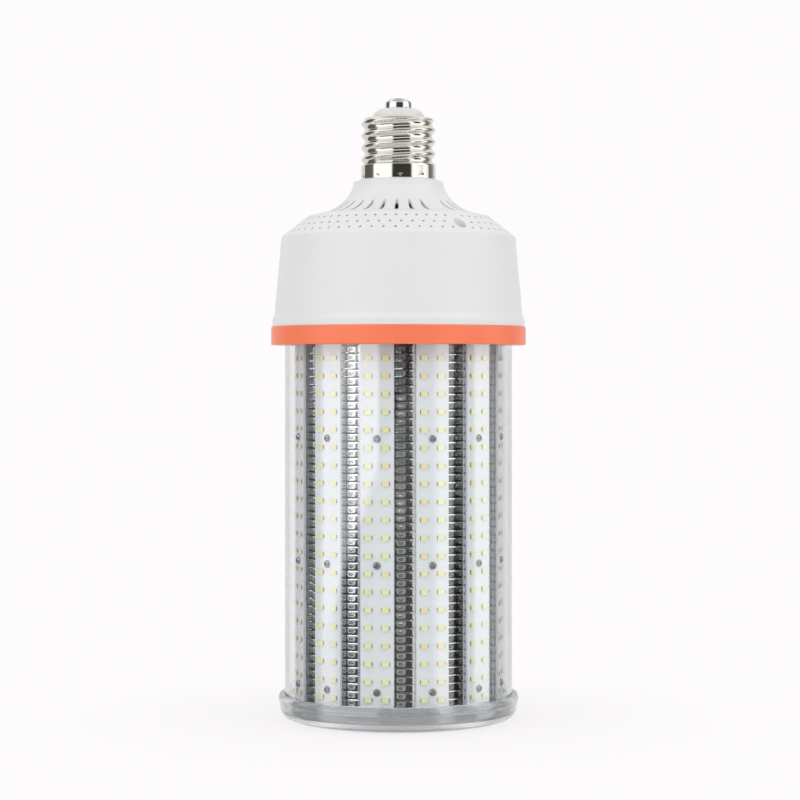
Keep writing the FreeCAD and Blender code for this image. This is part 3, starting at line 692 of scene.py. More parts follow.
class Tree(Graph):
    """Geometry Nodes tree under construction, with named inputs."""

    def __init__(self, name: str) -> None:
        """Start a tree with a geometry input and output.

        Args:
            name: Name of the node group.
        """
        super().__init__(bpy.data.node_groups.new(name, "GeometryNodeTree"))
        self.identifiers: dict[str, str] = {}
        self.tree.interface.new_socket(name="Geometry", in_out="INPUT", socket_type="NodeSocketGeometry")
        self.tree.interface.new_socket(name="Geometry", in_out="OUTPUT", socket_type="NodeSocketGeometry")
        self.start = self.tree.nodes.new("NodeGroupInput")
        self.end = self.tree.nodes.new("NodeGroupOutput")

    def input(self, name: str, kind: str) -> bpy.types.NodeSocket:
        """Add a named input.

        Args:
            name: Input name.
            kind: Socket type without its prefix, such as Float.

        Returns:
            The input's socket inside the tree.
        """
        made = self.tree.interface.new_socket(name=name, in_out="INPUT", socket_type="NodeSocket" + kind)
        self.identifiers[name] = made.identifier
        return self.start.outputs[name]

    def finish(self, geometry: bpy.types.NodeSocket, material: bpy.types.NodeSocket) -> None:
        """End the tree in Realize Instances and Set Material.

        Args:
            geometry: Geometry to put out.
            material: Material socket.
        """
        real = self.node("GeometryNodeRealizeInstances", {"Geometry": geometry})
        inputs = {"Geometry": real.outputs["Geometry"], "Material": material}
        dressed = self.node("GeometryNodeSetMaterial", inputs)
        self.tree.links.new(dressed.outputs["Geometry"], self.end.inputs["Geometry"])

    def apply(self, piece: bpy.types.Object, values: dict) -> bpy.types.Object:
        """Run the tree on an object and keep the result as its mesh.

        Args:
            piece: Object to run on.
            values: Values of the named inputs.

        Returns:
            The same object.
        """
        modifier = piece.modifiers.new(self.tree.name, "NODES")
        modifier.node_group = self.tree
        for name, value in values.items():
            modifier[self.identifiers[name]] = value
        return settle(piece)


class SidePattern(Tree):
    """Copies of a master in rows and columns on every side of the lamp."""

    def __init__(self) -> None:
        """Build the tree."""
        super().__init__("side_pattern")
        master = self.input("Master", "Object")
        sides = self.input("Sides", "Int")
        rows = self.input("Rows", "Int")
        columns = self.input("Columns", "Int")
        first_turn = self.input("First turn", "Float")
        out = self.input("Out", "Float")
        first_row = self.input("First row", "Float")
        row_pitch = self.input("Row pitch", "Float")
        column_pitch = self.input("Column pitch", "Float")
        unevenness = self.input("Unevenness", "Float")
        seed = self.input("Seed", "Int")
        material = self.input("Material", "Material")

        index = self.node("GeometryNodeInputIndex").outputs["Index"]
        on_side = self.math("MULTIPLY", rows, columns)
        side = self.math("FLOOR", self.math("DIVIDE", index, on_side))
        rest = self.math("MODULO", index, on_side)
        row = self.math("FLOOR", self.math("DIVIDE", rest, columns))
        column = self.math("MODULO", rest, columns)
        middle = self.math("MULTIPLY", self.math("SUBTRACT", columns, 1.0), 0.5)
        x = self.math("MULTIPLY", self.math("SUBTRACT", column, middle), column_pitch)
        y = self.math("MULTIPLY", out, -1.0)
        z = self.math("MULTIPLY_ADD", row, row_pitch, first_row)
        turn = self.math("MULTIPLY_ADD", side, 2 * math.pi / SIDES, first_turn)
        flat = self.node("ShaderNodeCombineXYZ", {"X": x, "Y": y, "Z": z}).outputs["Vector"]
        place = self.node("ShaderNodeVectorRotate", {"Vector": flat, "Angle": turn}, rotation_type="Z_AXIS")
        count = self.math("MULTIPLY", on_side, sides)
        points = self.node("GeometryNodePoints", {"Count": count, "Position": place.outputs["Vector"]})

        limit = self.math("MULTIPLY", unevenness, -1.0)
        lean = self.node("FunctionNodeRandomValue", {"Min": limit, "Max": unevenness, "Seed": seed},
                         data_type="FLOAT_VECTOR")
        upright = self.node("ShaderNodeCombineXYZ", {"Z": turn}).outputs["Vector"]
        turned = self.node("ShaderNodeVectorMath", {0: upright, 1: lean.outputs["Value"]}, operation="ADD")
        shape = self.node("GeometryNodeObjectInfo", {"Object": master}, transform_space="ORIGINAL")
        copies = self.node("GeometryNodeInstanceOnPoints", {
            "Points": points.outputs["Points"],
            "Instance": shape.outputs["Geometry"],
            "Rotation": turned.outputs["Vector"],
        })
        chance = self.node("FunctionNodeRandomValue", {"Seed": seed}, data_type="FLOAT")
        toned = self.node("GeometryNodeStoreNamedAttribute", {
            "Geometry": copies.outputs["Instances"],
            "Name": TONE,
            "Value": chance.outputs[1],
        }, data_type="FLOAT", domain="INSTANCE")
        self.finish(toned.outputs["Geometry"], material)

    def spread(self, name: str, master: bpy.types.Object, material: bpy.types.Material, *, out: float,
               first_turn_deg: float = FIRST_SIDE_DEG, rows: int = 1, columns: int = 1,
               first_row: float = 0.0, row_pitch: float = 0.0, column_pitch: float = 0.0,
               unevenness_deg: float = 0.0, seed: int = 0, sides: int = SIDES) -> bpy.types.Object:
        """Piece made of copies of a master on every side.

        Args:
            name: Object name.
            master: Copied object, which is then removed.
            material: Material of the copies.
            out: Distance of the master's origin from the axis.
            first_turn_deg: Direction of the first side.
            rows: Rows on a side.
            columns: Columns on a side.
            first_row: Height of the first row.
            row_pitch: Height from row to row.
            column_pitch: Width from column to column.
            unevenness_deg: Largest lean of a copy.
            seed: Seed of leans and tones.
            sides: Number of sides.

        Returns:
            The new object.
        """
        piece = new_object(name, bpy.data.meshes.new(name))
        self.apply(piece, {
            "Master": master,
            "Sides": sides,
            "Rows": rows,
            "Columns": columns,
            "First turn": math.radians(first_turn_deg),
            "Out": out * MM,
            "First row": first_row * MM,
            "Row pitch": row_pitch * MM,
            "Column pitch": column_pitch * MM,
            "Unevenness": math.radians(unevenness_deg),
            "Seed": seed,
            "Material": material,
        })
        discard(master)
        return piece


@dataclass
class PlacedRing:
    """Ring of posts or cutters round the axis.

    Args:
        name: Name of the ring's inputs.
        master: Copied object.
        count: Places round the axis.
        first_turn_deg: Direction of the first place.
        out: Distance from the axis.
        height: Height of the master's origin.
        lean_deg: Lean of the master outwards.
        skips_wells: Whether places beside a well stay empty.
    """

    name: str
    master: bpy.types.Object
    count: int
    first_turn_deg: float
    out: float
    height: float
    lean_deg: float = 0.0
    skips_wells: bool = True

    def values(self) -> dict:
        """Values of the ring's inputs.

        Returns:
            The values by input name.
        """
        return {
            self.name: self.master,
            self.name + " out": self.out * MM,
            self.name + " height": self.height * MM,
            self.name + " lean": math.radians(self.lean_deg),
        }


class Perforation(Tree):
    """Cuts rings of holes and slots in a turned shell, with none beside its screw wells."""

    def __init__(self, posts: PlacedRing, cutters: Sequence[PlacedRing], wells: int,
                 well_turn_deg: float) -> None:
        """Build the tree.

        Args:
            posts: Ring of posts that join the shell.
            cutters: Rings of cutters.
            wells: Number of screw wells.
            well_turn_deg: Direction of the first well.
        """
        super().__init__("shell_perforation")
        keep_off = self.input("Keep off", "Float")
        material = self.input("Material", "Material")
        solid = self.node("GeometryNodeMeshBoolean", {"Mesh 2": self.start.outputs["Geometry"]},
                          operation="UNION", solver="MANIFOLD")
        standing = self._ring(posts, keep_off, wells, well_turn_deg)
        real = self.node("GeometryNodeRealizeInstances", {"Geometry": standing})
        self.tree.links.new(real.outputs["Geometry"], solid.inputs["Mesh 2"])
        together = self.node("GeometryNodeJoinGeometry")
        for ring in cutters:
            copies = self._ring(ring, keep_off, wells, well_turn_deg)
            self.tree.links.new(copies, together.inputs["Geometry"])
        real = self.node("GeometryNodeRealizeInstances", {"Geometry": together.outputs["Geometry"]})
        cut = self.node("GeometryNodeMeshBoolean", {
            "Mesh 1": solid.outputs["Mesh"],
            "Mesh 2": real.outputs["Geometry"],
        }, operation="DIFFERENCE", solver="MANIFOLD")
        self.finish(cut.outputs["Mesh"], material)

    def _ring(self, ring: PlacedRing, keep_off: bpy.types.NodeSocket, wells: int,
              well_turn_deg: float) -> bpy.types.NodeSocket:
        """One ring of posts or cutters.

        Args:
            ring: Its places and master.
            keep_off: Angle to a well within which no copy stands.
            wells: Number of screw wells.
            well_turn_deg: Direction of the first well.

        Returns:
            Geometry socket of the copies.
        """
        master = self.input(ring.name, "Object")
        out = self.input(ring.name + " out", "Float")
        height = self.input(ring.name + " height", "Float")
        lean = self.input(ring.name + " lean", "Float")
        index = self.node("GeometryNodeInputIndex").outputs["Index"]
        turn = self.math("MULTIPLY_ADD", index, 2 * math.pi / ring.count, math.radians(ring.first_turn_deg))
        span = 2 * math.pi / wells
        past = self.math("FLOORED_MODULO", self.math("SUBTRACT", turn, math.radians(well_turn_deg)), span)
        nearest = self.math("MINIMUM", past, self.math("SUBTRACT", span, past))
        stands = self.math("GREATER_THAN", nearest, keep_off if ring.skips_wells else NO_LIMIT)
        y = self.math("MULTIPLY", out, -1.0)
        flat = self.node("ShaderNodeCombineXYZ", {"Y": y, "Z": height}).outputs["Vector"]
        place = self.node("ShaderNodeVectorRotate", {"Vector": flat, "Angle": turn}, rotation_type="Z_AXIS")
        points = self.node("GeometryNodePoints", {"Count": ring.count, "Position": place.outputs["Vector"]})
        shape = self.node("GeometryNodeObjectInfo", {"Object": master}, transform_space="ORIGINAL")
        copies = self.node("GeometryNodeInstanceOnPoints", {
            "Points": points.outputs["Points"],
            "Selection": stands,
            "Instance": shape.outputs["Geometry"],
            "Rotation": self.node("ShaderNodeCombineXYZ", {"X": lean, "Z": turn}).outputs["Vector"],
        })
        return copies.outputs["Instances"]


def round_cutter(name: str, radius: float, foot: float, top: float, steps: int) -> bpy.types.Object:
    """Closed round bar along Z.

    Args:
        name: Object name.
        radius: Its radius.
        foot: Lower end.
        top: Upper end.
        steps: Segments round it.

    Returns:
        The new object.
    """
    return lathe(name, [(0.0, foot), (radius, foot), (radius, top), (0.0, top)], steps)


# Sub-assemblies


@dataclass
class ScrewCap:
    """Plated mogul cap: threaded shell, insulator and centre contact.

    The contact's line has the radius, height over its seat and corner radius of each corner.
    """

    foot_z: float = 286.0
    skirt_r: float = 19.75
    skirt_top_z: float = 293.0
    thread_from_z: float = 294.8
    root_r: float = 17.95
    crest_r: float = 19.7
    pitch: float = 6.35
    crest_left_z: float = 302.75
    crest_sharpness: float = 1.35
    top_z: float = 318.6
    top_round: float = 3.1
    rim_r: float = 16.55
    mouth_r: float = 14.25
    wall: float = 0.5
    bore_r: float = 17.3
    bore_bevel: float = 1.0
    row_height: float = 0.32
    punch_marks: int = 10
    first_punch_deg: float = 3.0
    punch_z: float = 287.3
    punch_r: float = 0.75
    punch_depth: float = 0.42
    insulator_bore_r: float = 2.6
    insulator_depth: float = 6.5
    insulator_gap: float = 0.1
    insulator_bevel: float = 1.2
    dome_top_r: float = 7.6
    dome_sag: float = -1.5
    contact_z: float = 323.6
    contact_steps: int = 96
    contact_line: tuple[Corner, ...] = (
        (0.0, -6.0, 0.0), (2.5, -6.0, 0.0), (2.5, 0.0, 0.0), (7.1, 0.0, 0.3), (7.1, 3.4, 2.0),
        (4.7, 5.3, 1.2), (3.6, 5.4, 0.3), (3.2, 5.0, 0.3), (1.7, 5.0, 0.3), (1.0, 4.6, 0.3), (0.0, 4.5, 0.0),
    )

    def build(self) -> None:
        """Make and fit the three pieces."""
        fit(self._shell(), Slot.NICKEL, "screw_shell")
        fit(self._insulator(), Slot.CERAMIC, "cap_insulator")
        fit(self._contact(), Slot.NICKEL, "centre_contact")

    def _shell_r(self, turn: float, z: float) -> float:
        """Radius of the shell's outside.

        Args:
            turn: Direction in radians from +X.
            z: Height.

        Returns:
            The radius.
        """
        phase = (z - self.crest_left_z) / self.pitch - (turn - math.pi) / (2 * math.pi)
        wave = 0.5 + 0.5 * math.cos(2 * math.pi * phase)
        thread = self.root_r + (self.crest_r - self.root_r) * wave ** self.crest_sharpness
        rise = min(1.0, max(0.0, (z - self.skirt_top_z) / (self.thread_from_z - self.skirt_top_z)))
        rise = rise * rise * (3 - 2 * rise)
        radius = self.skirt_r + (thread - self.skirt_r) * rise
        below_top = z - (self.top_z - self.top_round)
        if below_top > 0:
            arc = math.sqrt(max(0.0, self.top_round ** 2 - below_top ** 2))
            radius = min(radius, self.rim_r + arc)
        return radius

    def _shell(self) -> bpy.types.Object:
        """Threaded shell with a plain skirt, prick-punched near its foot.

        Returns:
            The dressed shell.
        """
        steps = LATHE_STEPS
        turns = [2 * math.pi * n / steps for n in range(steps)]
        count = round((self.top_z - self.foot_z) / self.row_height)
        heights = [self.foot_z + (self.top_z - self.foot_z) * n / count for n in range(count + 1)]
        vertices = [self._round(t, self._shell_r(t, z), z) for z in heights for t in turns]
        roof_z = self.top_z - self.wall
        inside = (
            (self.mouth_r, self.top_z),
            (self.mouth_r, roof_z),
            (self.bore_r - self.bore_bevel, roof_z),
            (self.bore_r, roof_z - self.bore_bevel),
            (self.bore_r, self.thread_from_z),
            (self.skirt_r - self.wall, self.skirt_top_z - self.wall),
            (self.skirt_r - self.wall, self.foot_z),
        )
        vertices += [self._round(t, r, z) for r, z in inside for t in turns]
        rows = len(heights) + len(inside)
        faces = []
        for row in range(rows):
            above = (row + 1) % rows
            for n in range(steps):
                m = (n + 1) % steps
                faces.append([row * steps + n, row * steps + m, above * steps + m, above * steps + n])
        piece = new_object("screw_shell_threaded", mesh_of("screw_shell_threaded", vertices, faces))
        self._punch(piece)
        smooth(piece.data, THREAD_EDGE_DEG)
        dress(piece, NICKEL.material())
        return piece

    def _punch(self, piece: bpy.types.Object) -> None:
        """Press the ring of prick-punch marks into the skirt.

        Args:
            piece: The shell.
        """
        marks = []
        for n in range(self.punch_marks):
            turn_deg = self.first_punch_deg + FULL_TURN_DEG / self.punch_marks * n - RIGHT_ANGLE_DEG
            turn = math.radians(turn_deg)
            marks.append(Vector(self._round(turn, self.skirt_r, self.punch_z)) * MM)
        near = [v for v in piece.data.vertices if abs(v.co.z - self.punch_z * MM) < 2 * self.punch_r * MM]
        for vertex in near:
            outside = math.hypot(vertex.co.x, vertex.co.y) > (self.skirt_r - self.wall / 2) * MM
            gap = min((vertex.co - mark).length for mark in marks) / (self.punch_r * MM)
            if outside and gap < 1.0:
                push = self.punch_depth * MM * (1 - gap * gap)
                vertex.co -= Vector((vertex.co.x, vertex.co.y, 0.0)).normalized() * push

    @staticmethod
    def _round(turn: float, radius: float, z: float) -> tuple[float, float, float]:
        """Point at a direction, radius and height."""
        return (radius * math.cos(turn), radius * math.sin(turn), z)

    def _insulator(self) -> bpy.types.Object:
        """White dome through the shell's mouth.

        Returns:
            The dressed insulator.
        """
        seat = self.top_z - self.wall
        side_r = self.bore_r - self.insulator_gap
        foot = (self.mouth_r - self.insulator_gap, self.top_z)
        shoulder = (self.dome_top_r, self.contact_z)
        piece = lathe("insulator_dome", [
            (self.insulator_bore_r, seat - self.insulator_depth),
            (side_r, seat - self.insulator_depth),
            (side_r, seat - self.insulator_bevel),
            (self.bore_r - self.insulator_bevel, seat),
            (foot[0], seat),
            foot,
            *bowed(foot, shoulder, self.dome_sag),
            shoulder,
            (self.insulator_bore_r, self.contact_z),
        ])
        dress(piece, CERAMIC_WHITE.material())
        return piece

    def _contact(self) -> bpy.types.Object:
        """Contact button: upright side, crowned edge, raised rim and a dimple.

        Returns:
            The dressed contact.
        """
        line = [(r, self.contact_z + up, corner) for r, up, corner in self.contact_line]
        piece = lathe("contact_button", rounded(line), self.contact_steps)
        dress(piece, CONTACT_NICKEL.material())
        return piece


@dataclass
class DriverHousing:
    """Moulded housing with air slots, pinholes and screw wells, and its trim ring.

    Corners have a radius from the axis, a height and a corner radius.
    """

    foot_z: float = 207.9
    foot_r: float = 63.5
    foot_round: float = 0.4
    lip_top: Corner = (66.9, 211.2, 1.5)
    drum_foot: Corner = (65.75, 214.4, 4.0)
    drum_top: Corner = (62.0, 255.4, 1.6)
    crest: Corner = (47.7, 266.6, 4.0)
    flare_foot: Corner = (40.0, 268.2, 2.0)
    neck_foot: Corner = (24.2, 281.9, 1.0)
    flare_sag: float = 2.6
    neck_line: tuple[Corner, ...] = (
        (23.7, 284.7, 0.5), (19.75, 286.0, 0.2), (19.15, 286.0, 0.0), (19.15, 290.4, 0.0),
        (16.95, 290.4, 0.0), (16.95, 284.2, 0.0),
    )
    inner_neck_foot: Point = (21.9, 281.9)
    inner_flare_foot: Point = (39.0, 265.9)
    inner_drum_line: tuple[Point, ...] = ((47.0, 264.3), (59.7, 254.3), (63.5, 213.5))
    wall: float = 2.3
    wells: int = 3
    first_well_deg: float = 34.5
    well_circle_r: float = 55.5
    well_r: float = 3.3
    well_floor_z: float = 216.9
    well_cut: float = 60.0
    post_r: float = 5.0
    round_steps: int = 40
    keep_off_deg: float = 4.5
    pin_r: float = 0.8
    pin_steps: int = 10
    pins_round: int = 60
    pin_rows: tuple[float, float, float] = (50.4, 54.7, 58.6)
    slots_round: int = 30
    first_slot_deg: float = -1.5
    slot_inner_r: float = 29.5
    slot_outer_r: float = 41.2
    slot_top_w: float = 1.5
    slot_foot_w: float = 2.3
    slot_cut_z: float = 283.0
    inside_facing: float = -0.65
    ring_line: tuple[Corner, ...] = (
        (60.45, 198.2, 0.3), (67.5, 198.2, 0.7), (67.5, 207.9, 0.7), (63.3, 207.9, 0.0), (63.3, 210.9, 0.0),
        (61.5, 210.9, 0.0), (61.5, 207.9, 0.0), (51.5, 207.9, 0.0), (51.5, 205.4, 0.0), (60.45, 205.4, 0.0),
    )

    def build(self) -> None:
        """Make and fit the housing and the ring."""
        fit(self._housing(), Slot.HOUSING, "driver_housing")
        fit(self._ring(), Slot.RING, "trim_ring")

    def _profile(self) -> list[Point]:
        """Closed section of the housing's wall.

        Returns:
            Its points.
        """
        return rounded([
            (self.foot_r, self.foot_z),
            (self.lip_top[0], self.foot_z, self.foot_round),
            self.lip_top,
            self.drum_foot,
            self.drum_top,
            self.crest,
            self.flare_foot,
            *bowed(self.flare_foot[:2], self.neck_foot[:2], self.flare_sag),
            self.neck_foot,
            *self.neck_line,
            self.inner_neck_foot,
            *reversed(bowed(self.inner_flare_foot, self.inner_neck_foot, self.flare_sag)),
            self.inner_flare_foot,
            *self.inner_drum_line,
        ])

    def _slot_cutter(self) -> bpy.types.Object:
        """Tapered upright cutter for one air slot.

        Returns:
            The cutter, with its origin on the axis of the lamp.
        """
        half_in, half_out = self.slot_top_w / 2, self.slot_foot_w / 2
        plan = ((-half_in, -self.slot_inner_r), (-half_out, -self.slot_outer_r),
                (half_out, -self.slot_outer_r), (half_in, -self.slot_inner_r))
        count = len(plan)
        vertices = [(x, y, z) for z in (self.drum_top[1], self.slot_cut_z) for x, y in plan]
        faces = [list(range(count - 1, -1, -1)), list(range(count, 2 * count))]
        faces += [[n, (n + 1) % count, (n + 1) % count + count, n + count] for n in range(count)]
        mesh = mesh_of("slot_cutter", vertices, faces)
        return new_object("slot_cutter", joined("slot_cutter", [mesh]))

    @property
    def shoulder_run(self) -> float:
        """Width of the shoulder."""
        return self.drum_top[0] - self.crest[0]

    @property
    def shoulder_rise(self) -> float:
        """Height of the shoulder."""
        return self.crest[1] - self.drum_top[1]

    def _rings(self) -> list[PlacedRing]:
        """Rings of cutters.

        Returns:
            Rings for the pinholes, the air slots and the wells.
        """
        lean = math.degrees(math.atan2(self.shoulder_rise, self.shoulder_run))
        rings = []
        for n, out in enumerate(self.pin_rows):
            height = self.drum_top[1] + (self.drum_top[0] - out) / self.shoulder_run * self.shoulder_rise
            stagger = FULL_TURN_DEG / self.pins_round / 2 * (n % 2)
            pin = round_cutter("pin_cutter", self.pin_r, -self.wall * 2, self.wall, self.pin_steps)
            rings.append(PlacedRing(f"Pins {n + 1}", pin, self.pins_round, self.first_well_deg + stagger,
                                    out, height, lean))
        rings.append(PlacedRing("Slots", self._slot_cutter(), self.slots_round, self.first_slot_deg,
                                0.0, 0.0))
        well = round_cutter("well_cutter", self.well_r, 0.0, self.well_cut, self.round_steps)
        rings.append(PlacedRing("Wells", well, self.wells, self.first_well_deg, self.well_circle_r,
                                self.well_floor_z, skips_wells=False))
        return rings

    def _post(self) -> bpy.types.Object:
        """Upright post under a well, its top cut to the slope of the shoulder.

        Returns:
            The post, with its axis at the origin.
        """
        steps = self.round_steps
        slope = self.shoulder_rise / self.shoulder_run
        top = self.drum_top[1] + (self.drum_top[0] - self.well_circle_r) * slope - self.wall / 2
        turns = [2 * math.pi * n / steps for n in range(steps)]
        plan = [(self.post_r * math.cos(t), self.post_r * math.sin(t)) for t in turns]
        vertices = [(x, y, self.foot_z) for x, y in plan] + [(x, y, top + y * slope) for x, y in plan]
        faces = [list(range(steps - 1, -1, -1)), list(range(steps, 2 * steps))]
        faces += [[n, (n + 1) % steps, (n + 1) % steps + steps, n + steps] for n in range(steps)]
        return new_object("post_master", mesh_of("post_master", vertices, faces))

    def _housing(self) -> bpy.types.Object:
        """Perforated housing, with posts inside for its screws.

        Returns:
            The dressed housing.
        """
        piece = lathe("housing_shell", self._profile())
        posts = PlacedRing("Posts", self._post(), self.wells, self.first_well_deg, self.well_circle_r, 0.0,
                           skips_wells=False)
        cutters = self._rings()
        values = {key: value for ring in (posts, *cutters) for key, value in ring.values().items()}
        tree = Perforation(posts, cutters, self.wells, self.first_well_deg)
        material = HOUSING_WHITE.material()
        tree.apply(piece, {**values, "Keep off": math.radians(self.keep_off_deg), "Material": material})
        for ring in (posts, *cutters):
            discard(ring.master)
        smooth(piece.data)
        self._paint_inside_shade(piece)
        return piece

    def _paint_inside_shade(self, piece: bpy.types.Object) -> None:
        """Paint shade on the inner faces of the wall: a dark matt grey that stands for the shade inside the
        white housing.

        Args:
            piece: The housing.
        """
        piece.data.materials.append(HOUSING_INSIDE_SHADE.material())
        outward = Vector((self.shoulder_rise, self.shoulder_run)).normalized()
        for face in piece.data.polygons:
            away = Vector(face.center[:2]).normalized()
            section = Vector((away.dot(Vector(face.normal[:2])), face.normal.z))
            if section.dot(outward) < self.inside_facing and face.center.z > (self.foot_z + self.wall) * MM:
                face.material_index = 1

    def _ring(self) -> bpy.types.Object:
        """Orange ring between housing and tube."""
        piece = lathe("trim_ring_orange", rounded(self.ring_line))
        dress(piece, RING_ORANGE.material())
        return piece


@dataclass
class ClearCover:
    """Clear tube and its clear end cap.

    The cap's line has the radius, height and corner radius of each corner.
    """

    tube_r: float = 60.25
    tube_wall: float = 2.0
    tube_foot_z: float = 6.0
    tube_top_z: float = 205.2
    tube_ease: float = 0.2
    tube_ease_steps: int = 2
    cap_line: tuple[Corner, ...] = (
        (0.0, 0.0, 0.0), (53.6, 0.0, 6.0), (60.4, 1.7, 5.0), (62.7, 5.9, 5.0), (62.9, 9.5, 0.5),
        (63.3, 9.9, 0.4), (63.7, 12.0, 1.6), (62.9, 14.1, 1.0), (60.45, 14.1, 0.3),
        (60.45, 6.0, 0.0), (58.25, 6.0, 0.0), (58.25, 5.4, 1.0), (54.6, 2.4, 1.5), (52.0, 2.4, 0.0),
        (52.0, 10.8, 0.3), (50.0, 10.8, 0.3), (50.0, 2.4, 0.0), (0.0, 2.4, 0.0),
    )

    def build(self) -> None:
        """Make and fit the tube and the end cap."""
        fit(self._tube(), Slot.CLEAR, "clear_tube")
        fit(self._end_cap(), Slot.CLEAR, "end_cap")

    def _tube(self) -> bpy.types.Object:
        """Clear tube with its cut ends eased.

        Returns:
            The dressed tube.
        """
        inner = self.tube_r - self.tube_wall
        piece = lathe("tube_clear", rounded([
            (inner, self.tube_foot_z, self.tube_ease),
            (self.tube_r, self.tube_foot_z, self.tube_ease),
            (self.tube_r, self.tube_top_z, self.tube_ease),
            (inner, self.tube_top_z, self.tube_ease),
        ], self.tube_ease_steps))
        dress(piece, TUBE_CLEAR.material())
        return piece

    def _end_cap(self) -> bpy.types.Object:
        """Clear dish with a beaded rim, a ledge for the tube and a rib for the base plate."""
        piece = lathe("end_cap_clear", rounded(self.cap_line))
        dress(piece, CAP_CLEAR.material())
        return piece


@dataclass
class FinTab:
    """Folded tab that hangs from a fin: a plate with an oval eye, the roll of its fold and a tongue.

    Places are across from the gap's middle and up from the fin's. The fold's line has depth and height.
    """

    sheet: float
    middle_x: float = -1.7
    half_w: float = 2.3
    top_z: float = -0.45
    foot_z: float = -3.3
    foot_round: float = 0.9
    bow: float = 0.05
    steps: int = 16
    eye_at: Point = (-2.0, -2.0)
    eye_half: Point = (1.05, 0.75)
    fold_ends: Point = (-4.1, 2.55)
    fold_line: tuple[Point, ...] = (
        (-0.42, -0.7), (-0.42, -0.3), (-0.34, -0.1), (-0.1, 0.0), (1.2, 0.0), (1.2, -0.3), (0.1, -0.3),
        (-0.02, -0.42), (-0.02, -0.7),
    )
    tongue_foot_half: float = 0.5
    tongue_top_half: float = 0.35
    tongue_half_h: float = 0.3
    tongue_depth: Point = (-0.25, 0.15)

    def mesh(self) -> bpy.types.Mesh:
        """The whole tab in one mesh."""
        return joined("tab_master", [self._plate(), self._fold(), self._tongue()])

    def _edge(self, turn: float) -> Point:
        """Point of the plate's outline, which is square at the top and rounded at the foot.

        Args:
            turn: Direction from the plate's middle, in radians.

        Returns:
            The point, across and up.
        """
        c, s = math.cos(turn), math.sin(turn)
        scale = 1 / max(abs(c), abs(s))
        x, z = c * scale, s * scale
        middle_z, height = (self.top_z + self.foot_z) / 2, self.top_z - self.foot_z
        outer = Vector((x * self.half_w, middle_z + z * height / 2))
        if z < 0:
            centre = Vector((math.copysign(self.half_w - self.foot_round, x), self.foot_z + self.foot_round))
            if abs(outer.x) > abs(centre.x) and outer.y < centre.y:
                outer = centre + (outer - centre).normalized() * self.foot_round
        return (self.middle_x + outer.x, outer.y)

    def _plate(self) -> bpy.types.Mesh:
        """Plate of the tab, a little bowed, with its eye.

        Returns:
            The new mesh.
        """
        turns = [2 * math.pi * (n + 0.5) / self.steps for n in range(self.steps)]
        (eye_x, eye_z), (eye_w, eye_h) = self.eye_at, self.eye_half
        outline = [self._edge(t) for t in turns]
        eye = [(eye_x + eye_w * math.cos(t), eye_z + eye_h * math.sin(t)) for t in turns]
        vertices = []
        for y in (-self.sheet, 0.0):
            for x, z in (*outline, *eye):
                vertices.append((x, y + self.bow * ((x - self.middle_x) / self.half_w) ** 2, z))
        front_out, front_eye, back_out, back_eye = (self.steps * k for k in range(4))
        faces = []
        for n in range(self.steps):
            m = (n + 1) % self.steps
            faces += [
                [front_out + n, front_out + m, front_eye + m, front_eye + n],
                [back_out + m, back_out + n, back_eye + n, back_eye + m],
                [front_out + m, front_out + n, back_out + n, back_out + m],
                [front_eye + n, front_eye + m, back_eye + m, back_eye + n],
            ]
        return mesh_of("tab_plate", vertices, faces)

    def _fold(self) -> bpy.types.Mesh:
        """Rolled fold between the fin and its tab."""
        left, right = ([(x, y, z) for y, z in self.fold_line] for x in self.fold_ends)
        return loft_mesh("fold", left, right)

    def _tongue(self) -> bpy.types.Mesh:
        """Small tongue of the next fin that locks in the eye.

        Returns:
            The new mesh.
        """
        x, z = self.eye_at
        foot, top = z - self.tongue_half_h, z + self.tongue_half_h
        outline = [(x - self.tongue_foot_half, foot), (x + self.tongue_foot_half, foot),
                   (x + self.tongue_top_half, top), (x - self.tongue_top_half, top)]
        return prism_mesh("tongue", outline, *self.tongue_depth)


